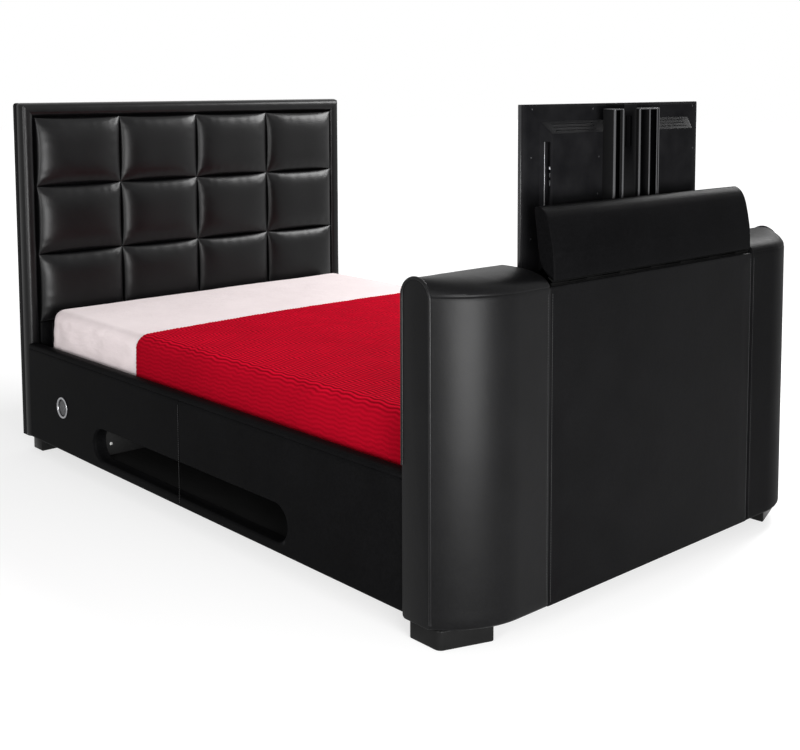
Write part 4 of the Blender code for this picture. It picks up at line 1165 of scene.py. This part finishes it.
# Lid
def lid_points():
    """The open lid's outline, taken from its solid's end face."""
    mesh = nodes["lid"].data
    end = min(v.co.x for v in mesh.vertices)
    raw = sorted({(round(v.co.y, 5), round(v.co.z, 5)) for v in mesh.vertices if v.co.x < end + 1e-4})
    mid = (sum(p[0] for p in raw) / len(raw), sum(p[1] for p in raw) / len(raw))
    raw.sort(key=lambda p: math.atan2(p[1] - mid[1], p[0] - mid[0]))
    return [Vector(p) for p in raw]


def rounded(points, radius, steps=6):
    """Round each corner of a closed outline."""
    result = []
    for i, p in enumerate(points):
        da, db = points[i - 1] - p, points[(i + 1) % len(points)] - p
        cut = min(radius, da.length * 0.45, db.length * 0.45)
        p0, p1 = p + da.normalized() * cut, p + db.normalized() * cut
        for k in range(steps + 1):
            t = k / steps
            result.append(p0 * (1 - t) ** 2 + p * 2 * t * (1 - t) + p1 * t * t)
    return result


def lid():
    """The padded lid, round at its corners and its two ends."""
    low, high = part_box("lid")
    outline = rounded(lid_points(), 0.009)
    count = len(outline)
    area = sum(outline[i - 1].x * outline[i].y - outline[i].x * outline[i - 1].y for i in range(count))
    normals = []
    for i in range(count):
        way = outline[(i + 1) % count] - outline[i - 1]
        normals.append(Vector((way.y, -way.x)).normalized() * math.copysign(1, area))
    radius, clear, raised, raised_run = 0.0030, 0.004, 0.0035, 0.030
    ends = [(low.x + radius * (1 - math.cos(t)), radius * (1 - math.sin(t))) for t in quarter(8)]
    middle = np.linspace(low.x + radius + clear, high.x - radius - clear, 120)
    stations = ends + [(float(x), 0.0) for x in middle] + [(-x, inset) for x, inset in reversed(ends)]
    rings = []
    for x, inset in stations:
        ring = []
        for p, normal in zip(outline, normals):
            ripple = abs(0.0008 * waver(x * 5.0, p.x * 7.0, p.y * 7.0))
            q = p - normal * (inset + (ripple if inset == 0 else 0))
            ring.append((x, q.x, q.y + raised * max(0.0, 1 - (q.y - low.z) / raised_run)))
        rings.append(ring)
    made = loft("lid_pad", rings, M["lid"], 50)

    def split_ends(shape):
        ends = [f for f in shape.faces if len(f.verts) > 4]
        bmesh.ops.triangulate(shape, faces=ends, ngon_method="EAR_CLIP")

    reshape(made.data, split_ends)
    soften(made.data, 50)
    return settle(made, "lid_body", "lid")


lid()
# The hinge leaves use the sheenless near-black material: painted shade in the gap under the lid.
dress("lid_hinge_fixed_leaf", M["socket"], bevel=0.0002, segments=1)
dress("lid_hinge_moving_leaf", M["socket"], "lid_body", bevel=0.0002, segments=1)


# Television
BAY_INNER, BAY_OUTER, BAY_TOP = 0.2945, 0.3215, 0.093


def tv_ring(drop, foot, head, y, radius):
    """The case's rounded outline, drawn in from its sides, its bottom and its top."""
    low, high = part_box("tv_rear_cover")
    w, a, b = high.x - drop, low.z + foot, high.z - head
    points = []
    for cx, cz, start in ((w, a, -90), (w, b, 0), (-w, b, 90), (-w, a, 180)):
        for k in range(7):
            t = math.radians(start + 15 * k)
            sx, sz = math.copysign(radius, cx), (radius if cz == b else -radius)
            points.append((cx - sx + radius * math.cos(t), y, cz - sz + radius * math.sin(t)))
    return points


def tv_cover():
    """The rear shell: side wall, broad chamfer, rim, raised housing with sockets and louvres."""
    low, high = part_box("tv_rear_cover")
    top, back = high.z, low.y
    rim = back + 0.030
    rings = [tv_ring(*row) for row in (
        (0.0, 0.0, 0.0, high.y, 0.004), (0.0, 0.0, 0.0, rim + 0.0046, 0.004),
        (0.0004, 0.0004, 0.0004, rim + 0.0040, 0.004), (0.0136, 0.0100, 0.0070, rim + 0.0003, 0.003),
        (0.0150, 0.0112, 0.0080, rim, 0.003), (0.0555, 0.0355, 0.0425, rim - 0.0028, 0.003),
        (0.0563, 0.0366, 0.0436, rim - 0.0037, 0.003), (0.0704, 0.0662, 0.0732, back + 0.0012, 0.004),
        (0.0722, 0.0690, 0.0762, back, 0.004),
    )]
    made = loft("tv_case_rear", rings, M["tv"], 18)
    cutters = []
    for side in (-1, 1):
        x0, x1 = sorted((side * BAY_INNER, side * BAY_OUTER))
        corners = (x0, back + 0.0040, top - 0.253), (x1, back + 0.0190, top - BAY_TOP)
        cutters.append(block("bay", *corners, M["tv"], 0))
        x0, x1 = sorted((side * 0.120, side * 0.283))
        for k in range(3):
            z = top - 0.0500 - 0.0080 * k
            y = rim - 0.0037 - (0.0263 - 0.0037) * (0.0064 + 0.0080 * k) / 0.0296
            corners = (x0, y - 0.004, z - 0.0007), (x1, y + 0.0010, z + 0.0007)
            cutters.append(block("louvre", *corners, M["tv"], 0))
    carve(made, join("cover_cutter", cutters, M["tv"]), 18)
    return settle(made, "tv_carriage", "tv_rear_cover")


def tv_screws():
    """Small sunk screws round the case and on its housing."""
    low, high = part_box("tv_rear_cover")
    back, top = low.y, high.z
    rim = back + 0.0278
    sunk = [
        (0, 0), (0.0023, 0), (0.0023, -0.0005), (0.0016, -0.0010), (0.0009, -0.0010), (0.0007, -0.0004),
        (0, -0.0004),
    ]
    top_row = (-0.347, 0.012), (-0.106, 0.014), (0.106, 0.014), (0.347, 0.012)
    spots = [(x, rim + 0.0014, top - down) for x, down in top_row]
    spots += [(x, rim + 0.001, z) for z in (1.133, 0.930) for x in (-0.350, 0.350)]
    spots += [(x, back + 0.0002, z) for x, z in ((-0.117, 1.128), (-0.122, 1.032), (0.122, 1.032))]
    heads = [revolve("screw", sunk, spot, "Y", M["steel"], 20) for spot in spots]
    settle(join("tv_screws", heads, M["steel"]), "tv_carriage")


def tv_sockets():
    """Plugs along the inner wall of each socket bay, and a thin strip in its floor."""
    low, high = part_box("tv_rear_cover")
    back, top = low.y, high.z
    plugs = []
    for side in (-1, 1):
        for k, (down, tall) in enumerate((
            (0.020, 0.0035), (0.038, 0.0035), (0.050, 0.0060), (0.066, 0.0035),
            (0.084, 0.0055), (0.104, 0.0070), (0.124, 0.0035), (0.142, 0.0045),
        )):
            if side < 0 and k not in (3, 4, 5):
                continue
            wall, z = side * BAY_INNER, top - BAY_TOP - down
            x0, x1 = sorted((wall, wall + side * (0.0045 if k % 3 else 0.0070)))
            corners = (x0 - 0.0002, back + 0.0080, z - tall), (x1, back + 0.0140, z + tall)
            plugs.append(block("plug", *corners, M["zinc"], 0.0006, 1))
        x0, x1 = sorted((side * 0.3105, side * 0.3130))
        corners = (x0, back + 0.0172, top - 0.2525), (x1, back + 0.0192, top - 0.0935)
        plugs.append(block("edge", *corners, M["tv"], 0.0005, 2))
    settle(join("tv_sockets", plugs, M["zinc"]), "tv_carriage")


tv_cover()
dress("tv_bezel", M["tv_gloss"], "tv_carriage", 0.0012, 3, name="tv_case_front")
dress("tv_screen", M["screen"], "tv_carriage", 0.0006, 2, name="tv_glass")
tv_screws()
tv_sockets()


# Lift
for node, mat, body, bevel in (
    ("tv_hook_plate", "lift", "tv_carriage", 0.0005), ("lift_carriage", "lift", "tv_carriage", 0.0005),
    ("lift_middle_stage", "lift", "lift_middle", 0.0005), ("lift_fixed_frame", "lift", "bed", 0.0005),
    ("lift_gear_base", "lift", "bed", 0.0005), ("lift_motor", "steel", "bed", 0.001),
    ("lift_actuator_tube", "zinc", "bed", 0.0005), ("lift_actuator_rod", "zinc", "lift_middle", 0.0005),
):
    dress(node, M[mat], body, bevel)


def lift_trim():
    """Bare lips, end caps and a screw on the carriage that holds the television."""
    low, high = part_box("lift_carriage")
    mouth, top = low.y, high.z
    lips, caps = [], []
    for x0, x1 in (
        (-0.0985, -0.0895), (-0.0605, -0.0545), (0.0100, 0.0172),
        (0.0550, 0.0600), (0.0890, 0.0925), (0.0975, 0.1005),
    ):
        corners = (x0, mouth - 0.0004, low.z + 0.001), (x1, mouth + 0.0008, top - 0.0006)
        lips.append(block("lip", *corners, M["lip"], 0.0002, 1))
    settle(join("lift_lips", lips, M["lip"]), "tv_carriage")
    for x0, x1 in ((-0.1015, -0.0545), (0.0200, 0.1015)):
        corners = (x0, mouth + 0.0002, top - 0.0010), (x1, high.y - 0.0004, top + 0.0022)
        caps.append(block("cap", *corners, M["lip"], 0.0006, 2))
    settle(join("lift_caps", caps, M["lip"]), "tv_carriage")
    dome = [(0, 0.0010), (0.0030, 0.0010), (0.0030, 0.0004), (0.0024, 0.0001), (0.0012, 0), (0, 0)]
    head = revolve("lift_screw", dome, (0.0136, mouth - 0.0004, 1.128), "Y", M["zinc"], 20)
    settle(head, "tv_carriage")


lift_trim()


# Stage: camera, light, floor and background
def camera():
    """The photograph's camera, fitted to it."""
    photo_width, centre_x, centre_y = 800, 400, 375
    axis_x, axis_y, focal_pixels, sensor = 325, 200, 1190.73, 36
    yaw, pitch, roll = -0.6938, -0.0892, -0.0094
    place = (-2.6331, -1.9933 + FOOT, 1.2970)
    data = bpy.data.cameras.new("photo_camera")
    data.lens = focal_pixels / photo_width * sensor
    data.sensor_width = sensor
    data.shift_x = (centre_x - axis_x) / photo_width
    data.shift_y = (axis_y - centre_y) / photo_width
    data.clip_start, data.clip_end = 0.05, 60
    ahead = Vector((-math.sin(yaw) * math.cos(pitch), math.cos(yaw) * math.cos(pitch), math.sin(pitch)))
    right = Vector((math.cos(yaw), math.sin(yaw), 0))
    up = right.cross(ahead)
    c, s = math.cos(roll), math.sin(roll)
    right, up = c * right + s * up, -s * right + c * up
    made = bpy.data.objects.new("photo_camera", data)
    made.matrix_world = Matrix.Translation(place) @ Matrix((right, up, -ahead)).transposed().to_4x4()
    bpy.context.scene.collection.objects.link(made)
    bpy.context.scene.camera = made


def lamp(name, place, aim, size, radiance):
    """A soft box by its place and how bright its face is."""
    data = bpy.data.lights.new(name, "AREA")
    data.shape = "RECTANGLE"
    data.size, data.size_y = size
    data.energy = radiance * math.pi * size[0] * size[1]
    made = bpy.data.objects.new(name, data)
    made.visible_camera = False
    way = (Vector(aim) - Vector(place)).normalized()
    made.matrix_world = Matrix.Translation(place) @ way.to_track_quat("-Z", "Y").to_matrix().to_4x4()
    bpy.context.scene.collection.objects.link(made)


def seen_rays(tree):
    """One for camera, mirror and clear rays, and zero for the rest."""
    rays = tree.nodes.new("ShaderNodeLightPath").outputs
    seen = rays["Is Camera Ray"]
    for word in ("Is Glossy Ray", "Is Transmission Ray"):
        seen = add_node(tree, "ShaderNodeMath", {0: seen, 1: rays[word]}, operation="MAXIMUM")
    return seen


def background():
    """A studio that is white where it is seen and dim where it only lights."""
    world = bpy.data.worlds.new("studio")
    bpy.context.scene.world = world
    world.use_nodes = True
    tree = world.node_tree
    tree.nodes.clear()
    dim, white = (
        add_node(tree, "ShaderNodeBackground", {"Color": (1, 1, 1, 1), "Strength": strength})
        for strength in (0.35, 1.0)
    )
    sky = add_node(tree, "ShaderNodeMixShader", {"Fac": seen_rays(tree), 1: dim, 2: white})
    out = tree.nodes.new("ShaderNodeOutputWorld")
    tree.links.new(sky, out.inputs["Surface"])


def floor():
    """A pale floor that takes a soft shadow and fades to white away from the bed."""
    mat = bpy.data.materials.new("floor_pale")
    mat.use_nodes = True
    tree = mat.node_tree
    plain = tree.nodes["Principled BSDF"].inputs
    for key, value in (
        ("Base Color", (0.45, 0.45, 0.45, 1)), ("Roughness", 0.95), ("Specular IOR Level", 0.0),
        ("Emission Color", (1, 1, 1, 1)),
    ):
        plain[key].default_value = value
    coords = add_node(tree, "ShaderNodeTexCoord", {}, "Object")
    far = add_node(tree, "ShaderNodeVectorMath", {0: coords}, "Value", operation="LENGTH")
    reach = {"From Min": 2.2, "From Max": 6.0, "To Min": 0.66, "To Max": 1.0, "Value": far}
    rise = add_node(tree, "ShaderNodeMapRange", reach, "Result")
    glow = add_node(tree, "ShaderNodeMath", {0: seen_rays(tree), 1: rise}, operation="MULTIPLY")
    tree.links.new(glow, plain["Emission Strength"])
    mesh = bpy.data.meshes.new("floor")
    reshape(mesh, lambda shape: bmesh.ops.create_grid(shape, x_segments=1, y_segments=1, size=40))
    link("floor", mesh, mat)


camera()
background()
floor()
lamp("front", (-2.5, -4.9, 0.95), (-0.4, -0.8, 0.7), (3.0, 1.5), 11.0)
lamp("low", (-1.35, -3.1, 0.35), (-0.65, -1.1, 0.45), (1.3, 0.7), 25.0)
lamp("right", (3.0, -0.45, 2.75), (0.2, 1.0, 0.95), (1.3, 1.6), 25.0)
lamp("left", (-4.4, -1.9, 1.25), (-0.3, -1.0, 1.1), (1.3, 1.1), 18.0)
lamp("top", (-0.4, 0.7, 4.6), (0, 0, 0), (1.6, 1.6), 1.3)
bpy.context.scene.view_settings.view_transform = "Standard"
